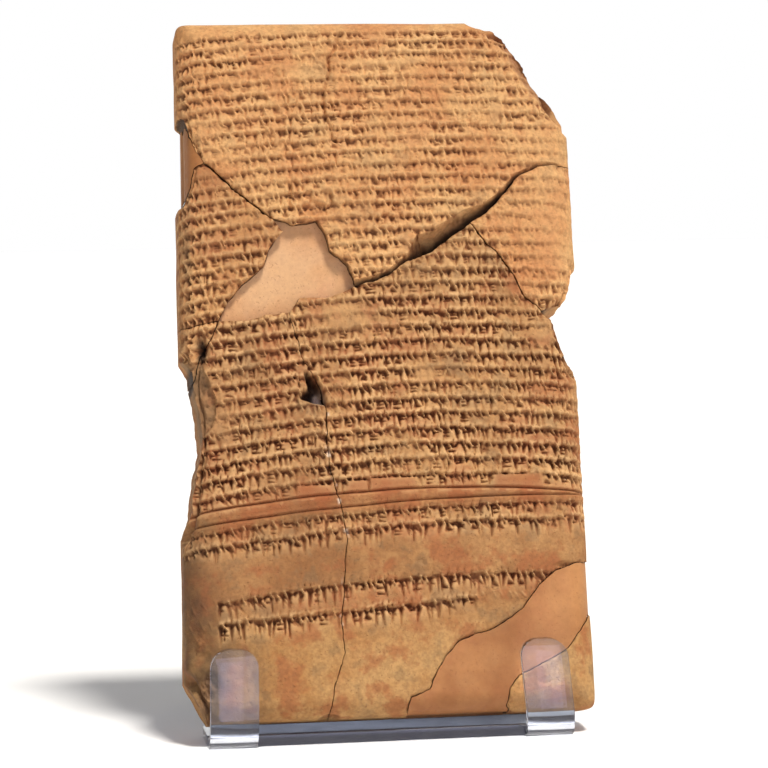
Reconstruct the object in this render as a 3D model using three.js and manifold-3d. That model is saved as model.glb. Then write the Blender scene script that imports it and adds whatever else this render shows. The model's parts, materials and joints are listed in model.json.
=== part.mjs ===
// A broken and mended cuneiform tablet, standing in a cradle bent from one clear sheet.
// Millimetres, +Z up. The written face looks along -Y, +X is to its right, and the cradle stands on z = 0.
import * as THREE from 'three';
import { mergeVertices } from 'three/addons/utils/BufferGeometryUtils.js';
import Module from 'manifold-3d';

const wasm = await Module();
wasm.setup();
const { Manifold } = wasm;

// ---------------------------------------------------------------------------------------------
// Driving sizes

// The tablet's own frame has x to the right, y back and z up along it. Its origin is below the foot, about
// where the tablet's middle plane meets the table.
const tablet = {
  foot: 3.6,
  top: 200,
  rightEdge: 56.3,
  rightBulge: 1.2,          // the right edge stands out by this much beside the right fragment
  leftEdgeFoot: -57.5,
  leftEdgeLean: 0.0195,     // the left edge comes in by this much for each millimetre up
  rimThickness: 24,
  frontSwell: 1.6,          // how far the middle of each face stands out past the rim
  backSwell: 3.6,
  edgeRadius: 7,
  cornerSquareness: 6,      // 2 would round the corners like the edges, and more makes them squarer
};
const glueGap = 0.3;        // between any two pieces
const leanBack = THREE.MathUtils.degToRad(12);

const writing = {
  rows: 34,
  firstLine: 196.4,         // height of the first row where the rows are highest
  firstPitch: 3.35,
  pitchGrowth: 0.0145,      // each row is a little taller than the one above
  crownAt: 14,              // the rows arch over this point and droop to both sides
  crownReach: 60,
  droopTop: 2.2,
  droopFoot: 4.6,
  furrowWidth: 2.2,
  furrowDepth: 1.3,
};

const sheet = {
  thickness: 3,
  bendRadius: 6,            // to the middle of the sheet
  tabWidth: 13,
  tabHeight: 27,
  tabCornerRadius: 5,
  tabs: [                   // where each tab stands, and how far it leans sideways for each millimetre up
    { centre: -44.8, lean: 0.03 },
    { centre: 42, lean: -0.06 },
  ],
  plateWidth: 84,
  plateHeight: 130,
  topDepth: 14,
  legSpread: 18,            // how far the rear leg runs back on its way down
  footLength: 17,
  middle: -1.4,             // centre of the sheet, left to right
};

// ---------------------------------------------------------------------------------------------
// Colours

const look = (hex, roughness, more = {}) =>
  new THREE.MeshStandardMaterial({ color: hex, roughness, metalness: 0, ...more });
const clayLook = look(0xb07c4c, 0.85);
const leftClayLook = look(0xa87349, 0.85);
const plasterLook = look(0xc48a5e, 0.6);
const acrylicLook = look(0xdcdcea, 0.08, { transparent: true, opacity: 0.35 });

// ---------------------------------------------------------------------------------------------
// Solids

// A closed three.js geometry as a solid that can be cut and joined.
function solidOf(geometry) {
  const bare = geometry.index ? geometry.toNonIndexed() : geometry.clone();
  bare.deleteAttribute('normal');
  bare.deleteAttribute('uv');
  const merged = mergeVertices(bare, 1e-4);
  return new Manifold(new wasm.Mesh({
    numProp: 3,
    vertProperties: new Float32Array(merged.attributes.position.array),
    triVerts: new Uint32Array(merged.index.array),
  }));
}

// A solid back as a three.js geometry with flat facets.
function geometryOf(solid) {
  const { vertProperties, triVerts, numProp } = solid.getMesh();
  const positions = new Float32Array(triVerts.length * 3);
  triVerts.forEach((vertex, i) => {
    positions.set(vertProperties.subarray(vertex * numProp, vertex * numProp + 3), i * 3);
  });
  const geometry = new THREE.BufferGeometry();
  geometry.setAttribute('position', new THREE.BufferAttribute(positions, 3));
  geometry.computeVertexNormals();
  return geometry;
}

// Moves every vertex of a geometry to place(x, y, z).
function reshape(geometry, place) {
  const position = geometry.attributes.position;
  for (let i = 0; i < position.count; i++) {
    position.setXYZ(i, ...place(position.getX(i), position.getY(i), position.getZ(i)));
  }
  return geometry;
}

// A repeatable number between 0 and 1 for two whole numbers.
function chance(i, j) {
  const wave = Math.sin(i * 127.1 + j * 311.7) * 43758.5453;
  return wave - Math.floor(wave);
}

// ---------------------------------------------------------------------------------------------
// The tablet as it was before it broke

const { mapLinear, clamp, lerp, smoothstep } = THREE.MathUtils;
const leftEdge = (z) => tablet.leftEdgeFoot + tablet.leftEdgeLean * z;
const rightEdge = (z) =>
  tablet.rightEdge + tablet.rightBulge * smoothstep(z, 110, 126) * (1 - smoothstep(z, 160, 190));

// How full a face is at a point: 1 in the middle and 0 at the rim.
function fullness(x, z) {
  const across = mapLinear(x, leftEdge(z), rightEdge(z), -1, 1);
  const up = mapLinear(z, tablet.foot, tablet.top, -1, 1);
  return clamp(1 - across ** 2, 0, 1) * clamp(1 - up ** 4, 0, 1);
}
const frontFace = (x, z) => -(tablet.rimThickness / 2 + tablet.frontSwell * fullness(x, z));

function wholeTablet() {
  const half = new THREE.Vector3(50, tablet.rimThickness / 2, (tablet.top - tablet.foot) / 2);
  const radius = tablet.edgeRadius;
  const core = half.clone().subScalar(radius);
  // Segments crowd towards the rim, where the surface turns.
  const crowd = (t, power) => Math.sign(t) * (1 - (1 - Math.abs(t)) ** power);
  return solidOf(reshape(new THREE.BoxGeometry(2, 2, 2, 10, 5, 14), (a, b, c) => {
    const point = new THREE.Vector3(crowd(a, 1.7) * half.x, b * half.y, crowd(c, 1.5) * half.z);
    const inner = point.clone().clamp(core.clone().negate(), core);
    const out = point.clone().sub(inner);
    const squareness = tablet.cornerSquareness;
    const sideways = (Math.abs(out.x) ** squareness + Math.abs(out.z) ** squareness) ** (1 / squareness);
    out.multiplyScalar(radius / Math.hypot(sideways, out.y));
    const rounded = inner.add(out);
    const z = tablet.foot + half.z + rounded.z;
    const x = mapLinear(rounded.x, -half.x, half.x, leftEdge(z), rightEdge(z));
    const swell = fullness(x, z) * (rounded.y < 0 ? -tablet.frontSwell : tablet.backSwell);
    return [x, rounded.y + swell * Math.abs(rounded.y) / half.y, z];
  }));
}

// ---------------------------------------------------------------------------------------------
// Grooves: boxes bent along a line on the front, wide at the surface and narrow at the root.

// line(t) gives [x, z] for t from 0 to 1. shape(t) gives {left, right, depth, lean}: how far the mouth
// reaches to the two sides of the line, how deep the root lies, and where it lies between the lips,
// from 0 under the left lip to 1 under the right one.
function groove({ line, steps, shape }) {
  const mouthClearance = 1.5;
  const rootWidth = 0.12;
  return solidOf(reshape(new THREE.BoxGeometry(1, 1, 1, steps, 1, 1), (a, b, c) => {
    const t = a + 0.5;
    const here = new THREE.Vector2(...line(t));
    const ahead = new THREE.Vector2(...line(Math.min(t + 0.5 / steps, 1)));
    const behind = new THREE.Vector2(...line(Math.max(t - 0.5 / steps, 0)));
    const toLeft = ahead.sub(behind).normalize().rotateAround(new THREE.Vector2(), Math.PI / 2);
    const { left, right, depth, lean } = shape(t);
    const root = left - lean * (left + right);
    const lip = c > 0 ? left : -right;
    const atMouth = b < 0;
    const flare = 1 + mouthClearance / depth;
    const aside = atMouth ? root + (lip - root) * flare : root + Math.sign(c) * rootWidth / 2;
    const spot = here.addScaledVector(toLeft, aside);
    return [spot.x, frontFace(spot.x, spot.y) + (atMouth ? -mouthClearance : depth), spot.y];
  }));
}

// A line through hand-placed points, for t from 0 to 1.
function through(points) {
  return (t) => {
    const place = t * (points.length - 1);
    const i = Math.min(Math.floor(place), points.length - 2);
    return [0, 1].map((axis) => lerp(points[i][axis], points[i + 1][axis], place - i));
  };
}

// The line of one row of writing on the front.
function rowHeight(row, x) {
  const droop = lerp(writing.droopTop, writing.droopFoot, row / writing.rows);
  const line = writing.firstLine - writing.firstPitch * row - writing.pitchGrowth * row * row;
  return line - droop * ((x - writing.crownAt) / writing.crownReach) ** 2;
}

// A row of strokes: one furrow whose depth rises and falls from stroke to stroke.
function strokeRow(row, fromX, toX, heightAt, steps = 6) {
  const strength = (t) => 0.55 + 0.6 * chance(row, Math.round(t * steps));
  return groove({
    line: (t) => [lerp(fromX, toX, t), heightAt(lerp(fromX, toX, t))],
    steps,
    shape: (t) => ({
      left: 0,
      right: writing.furrowWidth * (0.75 + 0.4 * chance(row + 50, Math.round(t * steps))),
      depth: writing.furrowDepth * strength(t),
      lean: 0.25,
    }),
  });
}

// A ruled line: thin, even and straight-sided.
function ruledLine(fromX, toX, heightAt) {
  return groove({
    line: (t) => [lerp(fromX, toX, t), heightAt(lerp(fromX, toX, t))],
    steps: 10,
    shape: () => ({ left: 0.5, right: 0.5, depth: 0.7, lean: 0.5 }),
  });
}

const rulings = [
  (x) => 66 - 4.2 * ((x - 14) / 60) ** 2,
  (x) => 63.4 - 5.4 * ((x - 40) / 86) ** 2,
];
const rowsUnderRulings = [
  (x) => 60.6 - 5.4 * ((x - 40) / 86) ** 2,
  (x) => 56.4 - 5.2 * ((x - 40) / 86) ** 2,
];
const closingRows = [
  { from: -48, to: 50, at: (x) => 42 - 6 * ((x - 30) / 79) ** 2 },
  { from: -48, to: 23, at: (x) => 35.3 - 0.073 * (20 - x) },
];

function frontWriting() {
  const cuts = [];
  for (let row = 0; row < writing.rows; row++) {
    cuts.push(strokeRow(row, leftEdge(rowHeight(row, -50)) - 1, tablet.rightEdge + 2,
      (x) => rowHeight(row, x)));
  }
  rulings.forEach((at) => cuts.push(ruledLine(-60, 60, at)));
  rowsUnderRulings.forEach((at, i) => cuts.push(strokeRow(40 + i, -60, 58, at)));
  closingRows.forEach(({ from, to, at }, i) => cuts.push(strokeRow(44 + i, from, to, at)));
  return cuts;
}

// ---------------------------------------------------------------------------------------------
// Breaks, seen from the front: [x, z] along each line where two pieces meet, and each broken edge.

const beyond = 72;          // safely outside the tablet
const join = {
  upperToLeftFill: [[-beyond, 176], [-52, 172], [-50, 165], [-47, 158.5]],
  upperToLeft: [[-47, 158.5], [-43, 155], [-38, 150], [-33, 146], [-29, 142.5]],
  upperToCentreFill: [
    [-29, 142.5], [-23, 140.5], [-16, 142], [-14, 138], [-13, 133], [-8, 129], [-6, 122.5],
  ],
  upperToLowerRight: [[-6, 122.5], [0, 124.5], [5, 127.5], [8, 130], [15, 132], [19, 135], [27, 140.5]],
  upperToRight: [[27, 140.5], [32, 143.5], [38, 149], [41, 153.5], [47, 156.5], [beyond, 157]],
  rightToLowerRight: [[27, 140.5], [32, 134], [36, 129], [39, 124], [41, 119], [46, 115]],
  leftFillToLeft: [[-47, 158.5], [-50, 157], [-51, 152], [-53, 147], [-beyond, 144]],
  leftToCentreFill: [
    [-29, 142.5], [-26, 138.5], [-30, 134], [-32, 129], [-37, 124.5], [-42, 119], [-44.5, 114.5],
  ],
  leftToSliver: [[-44.5, 114.5], [-51, 113], [-beyond, 111.5]],
  sliverToLowerLeft: [[-44.5, 114.5], [-47, 108], [-49.5, 104.5], [-51.2, 101], [-52, 97.5]],
  centreFillToLowerLeft: [[-44.5, 114.5], [-37, 113.5], [-32, 115.5], [-25, 115.5]],
  centreFillToLowerRight: [[-25, 115.5], [-22, 120], [-14, 120], [-6, 122.5]],
  lowerLeftToLowerRight: [
    [-25, 115.5], [-23, 108], [-22, 103.5], [-17.5, 95], [-16, 88], [-16, 74], [-13, 62], [-12, 54],
    [-13, 41], [-14, 30], [-13.5, 22], [-16.5, 14], [-18, 6], [-19, -10],
  ],
  lowerRightToCornerFill: [
    [beyond, 46], [54, 44.5], [46, 42], [41, 38], [36, 32], [29, 27.5], [18, 24], [14, 20], [11, 15],
    [9, 11], [4, 9], [3, 5], [4, -10],
  ],
  cornerFillToCorner: [
    [beyond, 33], [55, 30], [51, 25], [48, 21], [44, 18.5], [38, 16], [34, 14], [31, 10], [30, 6], [33, 2],
    [36, -10],
  ],
};

// Edges where clay is lost for good, and nothing meets it.
const brokenEdge = {
  upperRight: [
    [beyond, 170], [57.5, 169.5], [51.5, 175.5], [46.5, 181.8], [43.3, 188], [40.5, 192.5], [36.5, 197.5],
    [32, 201], [29, 215],
  ],
  belowRight: [[46, 115], [52, 116.5], [55, 121], [56, 127], [beyond, 130]],
  aboveLowerRight: [[46, 115], [49, 112], [51, 105], [53, 99.5], [55.5, 96.5], [beyond, 92]],
  sliverFoot: [[-52, 97.5], [-52.5, 101], [-55.3, 104.5], [-beyond, 106]],
  lowerLeftRim: [
    [-52, 97.5], [-50.8, 90], [-49.9, 80], [-51.9, 73], [-53.4, 62], [-56.6, 54], [-beyond, 50],
  ],
  lowerLeftCorner: [[-49, -10], [-50, 3], [-52.5, 7.5], [-54.2, 11.2], [-57.2, 16.5], [-beyond, 20]],
};

const back = (line) => [...line].reverse();

// One outline from lines that follow each other end to end.
function outlineOf(...lines) {
  const points = lines.flat().map(([x, z]) => new THREE.Vector2(x, z));
  return new THREE.Shape(points.filter((point, i) => i === 0 || !point.equals(points[i - 1])));
}

const outlines = {
  upper_fragment: outlineOf([[-beyond, 215]], join.upperToLeftFill, join.upperToLeft, join.upperToCentreFill,
    join.upperToLowerRight, join.upperToRight, brokenEdge.upperRight),
  left_fragment: outlineOf(back(join.leftFillToLeft), join.upperToLeft, join.leftToCentreFill,
    join.leftToSliver),
  left_sliver: outlineOf(back(join.leftToSliver), join.sliverToLowerLeft, brokenEdge.sliverFoot),
  right_fragment: outlineOf(back(join.upperToRight), join.rightToLowerRight, brokenEdge.belowRight),
  lower_left_fragment: outlineOf(join.centreFillToLowerLeft, join.lowerLeftToLowerRight,
    brokenEdge.lowerLeftCorner, back(brokenEdge.lowerLeftRim), back(join.sliverToLowerLeft)),
  lower_right_fragment: outlineOf(join.centreFillToLowerRight, join.upperToLowerRight,
    join.rightToLowerRight, brokenEdge.aboveLowerRight, join.lowerRightToCornerFill,
    back(join.lowerLeftToLowerRight)),
  corner_fragment: outlineOf(join.cornerFillToCorner, [[beyond, -10]]),
  left_fill: outlineOf(join.upperToLeftFill, join.leftFillToLeft),
  centre_fill: outlineOf(join.upperToCentreFill, back(join.centreFillToLowerRight),
    back(join.centreFillToLowerLeft), back(join.leftToCentreFill)),
  corner_fill: outlineOf(join.lowerRightToCornerFill, back(join.cornerFillToCorner)),
};

// An outline on the face, run through the tablet from front to back.
function prism(outline, front = -30, rear = 30) {
  const geometry = new THREE.ExtrudeGeometry(outline, { depth: rear - front, bevelEnabled: false });
  return solidOf(geometry.rotateX(Math.PI / 2).translate(0, rear, 0));
}

// A thin wall along a line, right through the tablet, that parts the pieces on its two sides.
function partingWall(line) {
  const points = line.map(([x, z]) => new THREE.Vector2(x, z));
  const side = (i) => {
    const before = points[Math.max(i - 1, 0)];
    const after = points[Math.min(i + 1, points.length - 1)];
    return after.clone().sub(before).normalize().rotateAround(new THREE.Vector2(), Math.PI / 2);
  };
  const offset = (distance) => points.map((point, i) => point.clone().addScaledVector(side(i), distance));
  return prism(new THREE.Shape([...offset(glueGap / 2), ...offset(-glueGap / 2).reverse()]));
}

// The sharp edges of a join are chipped, which shows as a narrow groove along it.
function chippedJoin(points) {
  return groove({
    line: through(points),
    steps: points.length - 1,
    shape: () => ({ left: 0.6, right: 0.6, depth: 1.2, lean: 0.5 }),
  });
}

// The open break: the lower edge of the upper fragment has flaked away, so the gap is a wedge
// over the join. [x, how far the gap opens at the surface].
const breakOpening = [
  [-6, 0.5], [6, 1], [9, 1.8], [14, 7], [19, 4.6], [24, 4.6], [31, 3.3], [38, 1.6], [47, 1.1], [57, 0.6],
];
const breakDepthPerOpening = 1.5;

function openBreak() {
  const path = [...join.upperToLowerRight, ...join.upperToRight.slice(1, -1), [58, 156.7]];
  const line = through(path);
  const opening = (x) => {
    const i = clamp(breakOpening.findIndex(([edge]) => edge > x), 1, breakOpening.length - 1);
    const [[fromX, from], [toX, to]] = [breakOpening[i - 1], breakOpening[i]];
    return clamp(mapLinear(x, fromX, toX, from, to), 0.4, 7);
  };
  return groove({
    line,
    steps: path.length - 1,
    shape: (t) => {
      const gap = opening(line(t)[0]);
      return { left: gap, right: 0.2, depth: 1 + gap * breakDepthPerOpening, lean: 0.97 };
    },
  });
}

// A worn edge: a slope that starts this far inside the line and falls away past it.
function wornEdge(points, inside, depth, innerSide) {
  const outside = 6;
  const lefty = innerSide === 'left';
  const lean = (lefty ? inside : outside) / (inside + outside);
  return groove({
    line: through(points),
    steps: points.length - 1,
    shape: () => ({ left: lefty ? inside : outside, right: lefty ? outside : inside, depth, lean }),
  });
}

// ---------------------------------------------------------------------------------------------
// The pieces of the tablet

const pitOutline = outlineOf([[-21.5, 99.5], [-17.5, 95], [-16, 90], [-19, 90.5], [-23, 92], [-20.5, 94.5]]);
const pitDepth = 8;
const centreFillDepth = 3.5;
const flushFillDepth = 0.8;
const leftFillSideDepth = 2;

function tabletPieces() {
  const whole = wholeTablet();
  const walls = Manifold.union(Object.values(join).map(partingWall));
  const losses = Manifold.union([
    openBreak(),
    prism(pitOutline, -30, -tablet.rimThickness / 2 + pitDepth),
    wornEdge(brokenEdge.upperRight.slice(1, -1), 4, 5, 'left'),
    wornEdge(brokenEdge.lowerLeftRim.slice(0, -1), 4.5, 4.5, 'left'),
    wornEdge(brokenEdge.lowerLeftCorner.slice(1, -1), 3, 3, 'right'),
    wornEdge(brokenEdge.belowRight.slice(0, -1), 1.5, 2, 'left'),
    wornEdge(brokenEdge.aboveLowerRight.slice(0, -1), 1.5, 2, 'right'),
    ...Object.values(join).map((line) => chippedJoin(line.filter(([x]) => Math.abs(x) < beyond))),
  ]);
  const clay = whole.subtract(Manifold.union([...frontWriting(), losses, walls]));
  const plain = whole.subtract(walls);
  const stock = {
    left_fill: plain.intersect(whole.translate(leftFillSideDepth, flushFillDepth, 0)),
    centre_fill: plain,
    corner_fill: plain.intersect(whole.translate(0, flushFillDepth, 0)),
  };

  const pieces = {};
  for (const [name, outline] of Object.entries(outlines)) {
    const front = name === 'centre_fill' ? frontFace(-25, 130) + centreFillDepth : -30;
    const solid = (stock[name] ?? clay).intersect(prism(outline, front));
    pieces[name] = largest(solid).simplify(0.12);
  }
  return pieces;
}

// The largest of a solid's separate lumps: crumbs left by the cuts are dropped.
function largest(solid) {
  return solid.decompose().sort((one, other) => other.volume() - one.volume())[0];
}

// ---------------------------------------------------------------------------------------------
// The cradle: one sheet, bent across. Its section is drawn as [y, z] along the middle of the sheet.

// Height of the tablet's own origin, so that its lowest point clears the ledge by the glue gap.
function tabletRise(pieces) {
  const lean = [-THREE.MathUtils.radToDeg(leanBack), 0, 0];
  const lowest = Math.min(...Object.values(pieces).map((solid) => solid.rotate(lean).boundingBox().min[2]));
  return sheet.thickness + glueGap - lowest;
}

// Where a plane of the leaning tablet, so far in front of its middle, stands at a height.
const leaningY = (inFront, height, rise) =>
  ((height - rise) * Math.sin(leanBack) - inFront) / Math.cos(leanBack);

// A line through corners, with each corner rounded, and the direction at every point.
function roundedLine(corners, radius, stepsPerBend = 5) {
  const points = corners.map(([y, z]) => new THREE.Vector2(y, z));
  const line = [{ at: points[0], along: points[1].clone().sub(points[0]).normalize() }];
  for (let i = 1; i < points.length - 1; i++) {
    const arriving = points[i].clone().sub(points[i - 1]).normalize();
    const leaving = points[i + 1].clone().sub(points[i]).normalize();
    const turn = Math.atan2(arriving.cross(leaving), arriving.dot(leaving));
    const toTangent = radius * Math.tan(Math.abs(turn) / 2);
    const toCentre = arriving.clone().rotateAround(new THREE.Vector2(), Math.sign(turn) * Math.PI / 2);
    const centre = points[i].clone().addScaledVector(arriving, -toTangent).addScaledVector(toCentre, radius);
    for (let step = 0; step <= stepsPerBend; step++) {
      const turned = (turn * step) / stepsPerBend;
      const spoke = toCentre.clone().multiplyScalar(-radius).rotateAround(new THREE.Vector2(), turned);
      const along = arriving.clone().rotateAround(new THREE.Vector2(), turned);
      line.push({ at: centre.clone().add(spoke), along });
    }
  }
  const last = points.length - 1;
  line.push({ at: points[last], along: points[last].clone().sub(points[last - 1]).normalize() });
  return line;
}

// A strip of the sheet, bent through the corners, from x = low to x = high, leaning sideways as it rises.
function bentStrip(corners, low, high, lean = 0) {
  const line = roundedLine(corners, sheet.bendRadius);
  const side = (distance) => line.map(({ at, along }) =>
    at.clone().addScaledVector(along.clone().rotateAround(new THREE.Vector2(), Math.PI / 2), distance));
  const section = new THREE.Shape([...side(-sheet.thickness / 2), ...side(sheet.thickness / 2).reverse()]);
  const geometry = new THREE.ExtrudeGeometry(section, { depth: high - low, bevelEnabled: false });
  const axes = [new THREE.Vector3(0, 1, 0), new THREE.Vector3(0, 0, 1), new THREE.Vector3(1, 0, 0)];
  geometry.applyMatrix4(new THREE.Matrix4().makeBasis(...axes)).translate(low, 0, 0);
  return solidOf(reshape(geometry, (x, y, z) => [x + lean * z, y, z]));
}

// The outline of a tab from the front: a strip with both top corners rounded.
function tabBlank({ centre, lean }) {
  const half = sheet.tabWidth / 2;
  const radius = sheet.tabCornerRadius;
  const shoulder = sheet.tabHeight - radius;
  const outline = new THREE.Shape();
  outline.moveTo(centre - half, -1);
  outline.lineTo(centre + half, -1);
  outline.absarc(centre + half - radius, shoulder, radius, 0, Math.PI / 2);
  outline.absarc(centre - half + radius, shoulder, radius, Math.PI / 2, Math.PI);
  const geometry = new THREE.ExtrudeGeometry(outline, { depth: 60, curveSegments: 6, bevelEnabled: false });
  geometry.rotateX(Math.PI / 2).translate(0, 30, 0);
  return solidOf(reshape(geometry, (x, y, z) => [x + lean * z, y, z]));
}

// The ledge from above: full width, with a hollow fillet where it runs into each tab.
function ledge(frontY, rearY) {
  const [[left, innerLeft], [innerRight, right]] = sheet.tabs.map(({ centre }) =>
    [centre - sheet.tabWidth / 2, centre + sheet.tabWidth / 2]);
  const fillet = 2;
  const plan = new THREE.Shape();
  plan.moveTo(left, rearY);
  plan.lineTo(left, frontY - fillet);
  plan.lineTo(innerLeft, frontY - fillet);
  plan.absarc(innerLeft + fillet, frontY - fillet, fillet, Math.PI, Math.PI / 2, true);
  plan.absarc(innerRight - fillet, frontY - fillet, fillet, Math.PI / 2, 0, true);
  plan.lineTo(right, frontY - fillet);
  plan.lineTo(right, rearY);
  const options = { depth: sheet.thickness, curveSegments: 4, bevelEnabled: false };
  return solidOf(new THREE.ExtrudeGeometry(plan, options));
}

function cradle(rise) {
  const middle = sheet.thickness / 2;
  const inFrontOfTab = tablet.rimThickness / 2 + 0.8 + middle;
  const behindPlate = tablet.rimThickness / 2 + tablet.backSwell + 0.4 + middle;
  const tabTop = [leaningY(inFrontOfTab, sheet.tabHeight + 3, rise), sheet.tabHeight + 3];
  const tabRoot = [leaningY(inFrontOfTab, middle, rise), middle];
  const plateRoot = [leaningY(-behindPlate, middle, rise), middle];
  const plateTop = [leaningY(-behindPlate, sheet.plateHeight, rise), sheet.plateHeight];
  const legTop = [plateTop[0] + sheet.topDepth, sheet.plateHeight];
  const legFoot = [legTop[0] + sheet.legSpread, middle];
  const footEnd = [legFoot[0] + sheet.footLength, middle];
  const bendStart = tabRoot[0] + sheet.bendRadius * Math.tan((Math.PI / 2 + leanBack) / 2);

  const tabs = sheet.tabs.map((tab) =>
    bentStrip([tabTop, tabRoot, [bendStart + 2, middle]],
      tab.centre - sheet.tabWidth / 2, tab.centre + sheet.tabWidth / 2, tab.lean).intersect(tabBlank(tab)));
  const low = sheet.middle - sheet.plateWidth / 2;
  const easel = bentStrip([[bendStart + 1, middle], plateRoot, plateTop, legTop, legFoot, footEnd],
    low, low + sheet.plateWidth);
  return Manifold.union([...tabs, easel, ledge(bendStart - 0.3, plateRoot[0] - sheet.bendRadius)]);
}

// ---------------------------------------------------------------------------------------------
// The object

const pieceLooks = {
  left_fragment: leftClayLook,
  left_sliver: leftClayLook,
  left_fill: plasterLook,
  centre_fill: plasterLook,
  corner_fill: plasterLook,
};

function buildObject() {
  const object = new THREE.Group();
  const leaning = new THREE.Group();
  const pieces = tabletPieces();
  const rise = tabletRise(pieces);
  leaning.rotation.x = -leanBack;
  leaning.position.z = rise;
  for (const [name, solid] of Object.entries(pieces)) {
    const mesh = new THREE.Mesh(geometryOf(solid), pieceLooks[name] ?? clayLook);
    mesh.name = name;
    leaning.add(mesh);
  }
  const stand = new THREE.Mesh(geometryOf(cradle(rise)), acrylicLook);
  stand.name = 'acrylic_cradle';
  object.add(leaning, stand);
  return object;
}

export default buildObject();
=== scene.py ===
"""A broken and mended cuneiform tablet in a clear cradle: its surfaces, writing, breaks and finish.

The tablet is worked in its own frame, in millimetres: x to the right, y back and z up along the tablet.
The last step of each piece leans it back, sets it on the cradle and turns it into metres.
"""

import json
import math

import bpy
import numpy as np
from mathutils import Matrix, Vector

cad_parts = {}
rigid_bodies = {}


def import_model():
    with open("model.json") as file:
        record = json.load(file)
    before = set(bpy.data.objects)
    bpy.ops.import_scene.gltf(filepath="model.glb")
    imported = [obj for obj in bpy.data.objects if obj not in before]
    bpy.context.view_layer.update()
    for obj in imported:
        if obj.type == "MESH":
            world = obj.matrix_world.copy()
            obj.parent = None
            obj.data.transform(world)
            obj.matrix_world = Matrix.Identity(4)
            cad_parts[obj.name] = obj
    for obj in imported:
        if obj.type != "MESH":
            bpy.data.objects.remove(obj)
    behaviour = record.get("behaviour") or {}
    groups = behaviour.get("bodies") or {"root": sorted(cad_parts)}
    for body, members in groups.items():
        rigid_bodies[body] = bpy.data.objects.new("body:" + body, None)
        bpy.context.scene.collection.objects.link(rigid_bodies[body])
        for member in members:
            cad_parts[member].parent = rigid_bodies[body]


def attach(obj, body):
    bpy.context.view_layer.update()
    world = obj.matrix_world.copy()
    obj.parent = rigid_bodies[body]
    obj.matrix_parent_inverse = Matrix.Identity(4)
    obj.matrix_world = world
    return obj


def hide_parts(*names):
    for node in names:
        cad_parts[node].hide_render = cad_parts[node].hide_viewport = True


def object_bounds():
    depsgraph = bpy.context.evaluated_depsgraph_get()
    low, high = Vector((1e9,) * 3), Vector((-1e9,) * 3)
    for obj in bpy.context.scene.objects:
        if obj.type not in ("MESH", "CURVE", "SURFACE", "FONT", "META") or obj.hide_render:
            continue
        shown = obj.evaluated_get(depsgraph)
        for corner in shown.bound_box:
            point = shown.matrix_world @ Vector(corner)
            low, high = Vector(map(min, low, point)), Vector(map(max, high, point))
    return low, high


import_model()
cad_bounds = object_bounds()

# ------------------------------------------------------------------------------------------------
# Driving sizes
# ------------------------------------------------------------------------------------------------

FOOT, TOP = 3.6, 200.0
RIGHT_EDGE, RIGHT_BULGE = 56.3, 1.2
LEFT_EDGE_FOOT, LEFT_EDGE_LEAN = -57.5, 0.0195
RIM_THICKNESS = 24.0
FRONT_SWELL, BACK_SWELL = 1.6, 3.6
EDGE_RADIUS = 7.0
SQUARENESS = 6                  # 2 would round the corners like the edges, and more makes them squarer
HALF_WIDTH = 50.0               # the rounded slab is laid out this wide, then stretched to the edges
LEAN_BACK = math.radians(12.0)
RISE = 0.945                    # the tablet's own origin stands this far above the floor
BEYOND = 72.0                   # safely outside the tablet
SURFACE_STEP = 0.25             # spacing of the points of the written face
SHEET_STEP = 0.25               # spacing of the flat maps that hold the relief
SKIN, BROKEN = 0, 1             # material places on a piece: its outer skin and its broken faces

rng = np.random.default_rng(1873)


def left_edge(z):
    return LEFT_EDGE_FOOT + LEFT_EDGE_LEAN * z


def soft_step(low, high, value):
    t = np.clip((value - low) / (high - low), 0, 1)
    return t * t * (3 - 2 * t)


def right_edge(z):
    return RIGHT_EDGE + RIGHT_BULGE * soft_step(110, 126, z) * soft_step(190, 160, z)


def fullness(x, z):
    """How full a face is: 1 in the middle and 0 at the rim."""
    across = (x - left_edge(z)) / (right_edge(z) - left_edge(z)) * 2 - 1
    up = (z - FOOT) / (TOP - FOOT) * 2 - 1
    return np.clip(1 - across ** 2, 0, 1) * np.clip(1 - up ** 4, 0, 1)


# ------------------------------------------------------------------------------------------------
# Noise and flat maps
# ------------------------------------------------------------------------------------------------

def cloud(points, size, octaves=3, seed=0):
    """Soft noise from -1 to 1 at 3D points, with its largest lumps this size."""
    total, reach = np.zeros(len(points)), 0.0
    for octave in range(octaves):
        table = np.random.default_rng(seed + octave * 17).uniform(-1, 1, 4096)
        place = points / (size / 2 ** octave) + 37.7 * (octave + 1)
        cell = np.floor(place).astype(np.int64)
        t = place - cell
        t = t * t * (3 - 2 * t)
        value = np.zeros(len(points))
        for corner in range(8):
            step = np.array([corner & 1, corner >> 1 & 1, corner >> 2 & 1])
            key = (cell + step) @ np.array([1619, 31337, 6971])
            value += np.prod(np.where(step, t, 1 - t), axis=1) * table[(key ^ key >> 9) & 4095]
        total += value / 1.7 ** octave
        reach += 1 / 1.7 ** octave
    return total / reach


sheet_x, sheet_z = np.meshgrid(np.arange(-BEYOND, BEYOND + SHEET_STEP, SHEET_STEP),
                               np.arange(-10, 216, SHEET_STEP))


def sheet_noise(size, octaves=3, seed=0, stretch=1.0):
    """Soft noise over the flat map. A stretch over 1 draws its lumps out sideways."""
    points = np.stack([sheet_x.ravel() / stretch, np.full(sheet_x.size, seed * 3.1), sheet_z.ravel()], 1)
    return cloud(points, size, octaves, seed).reshape(sheet_x.shape)


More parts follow.
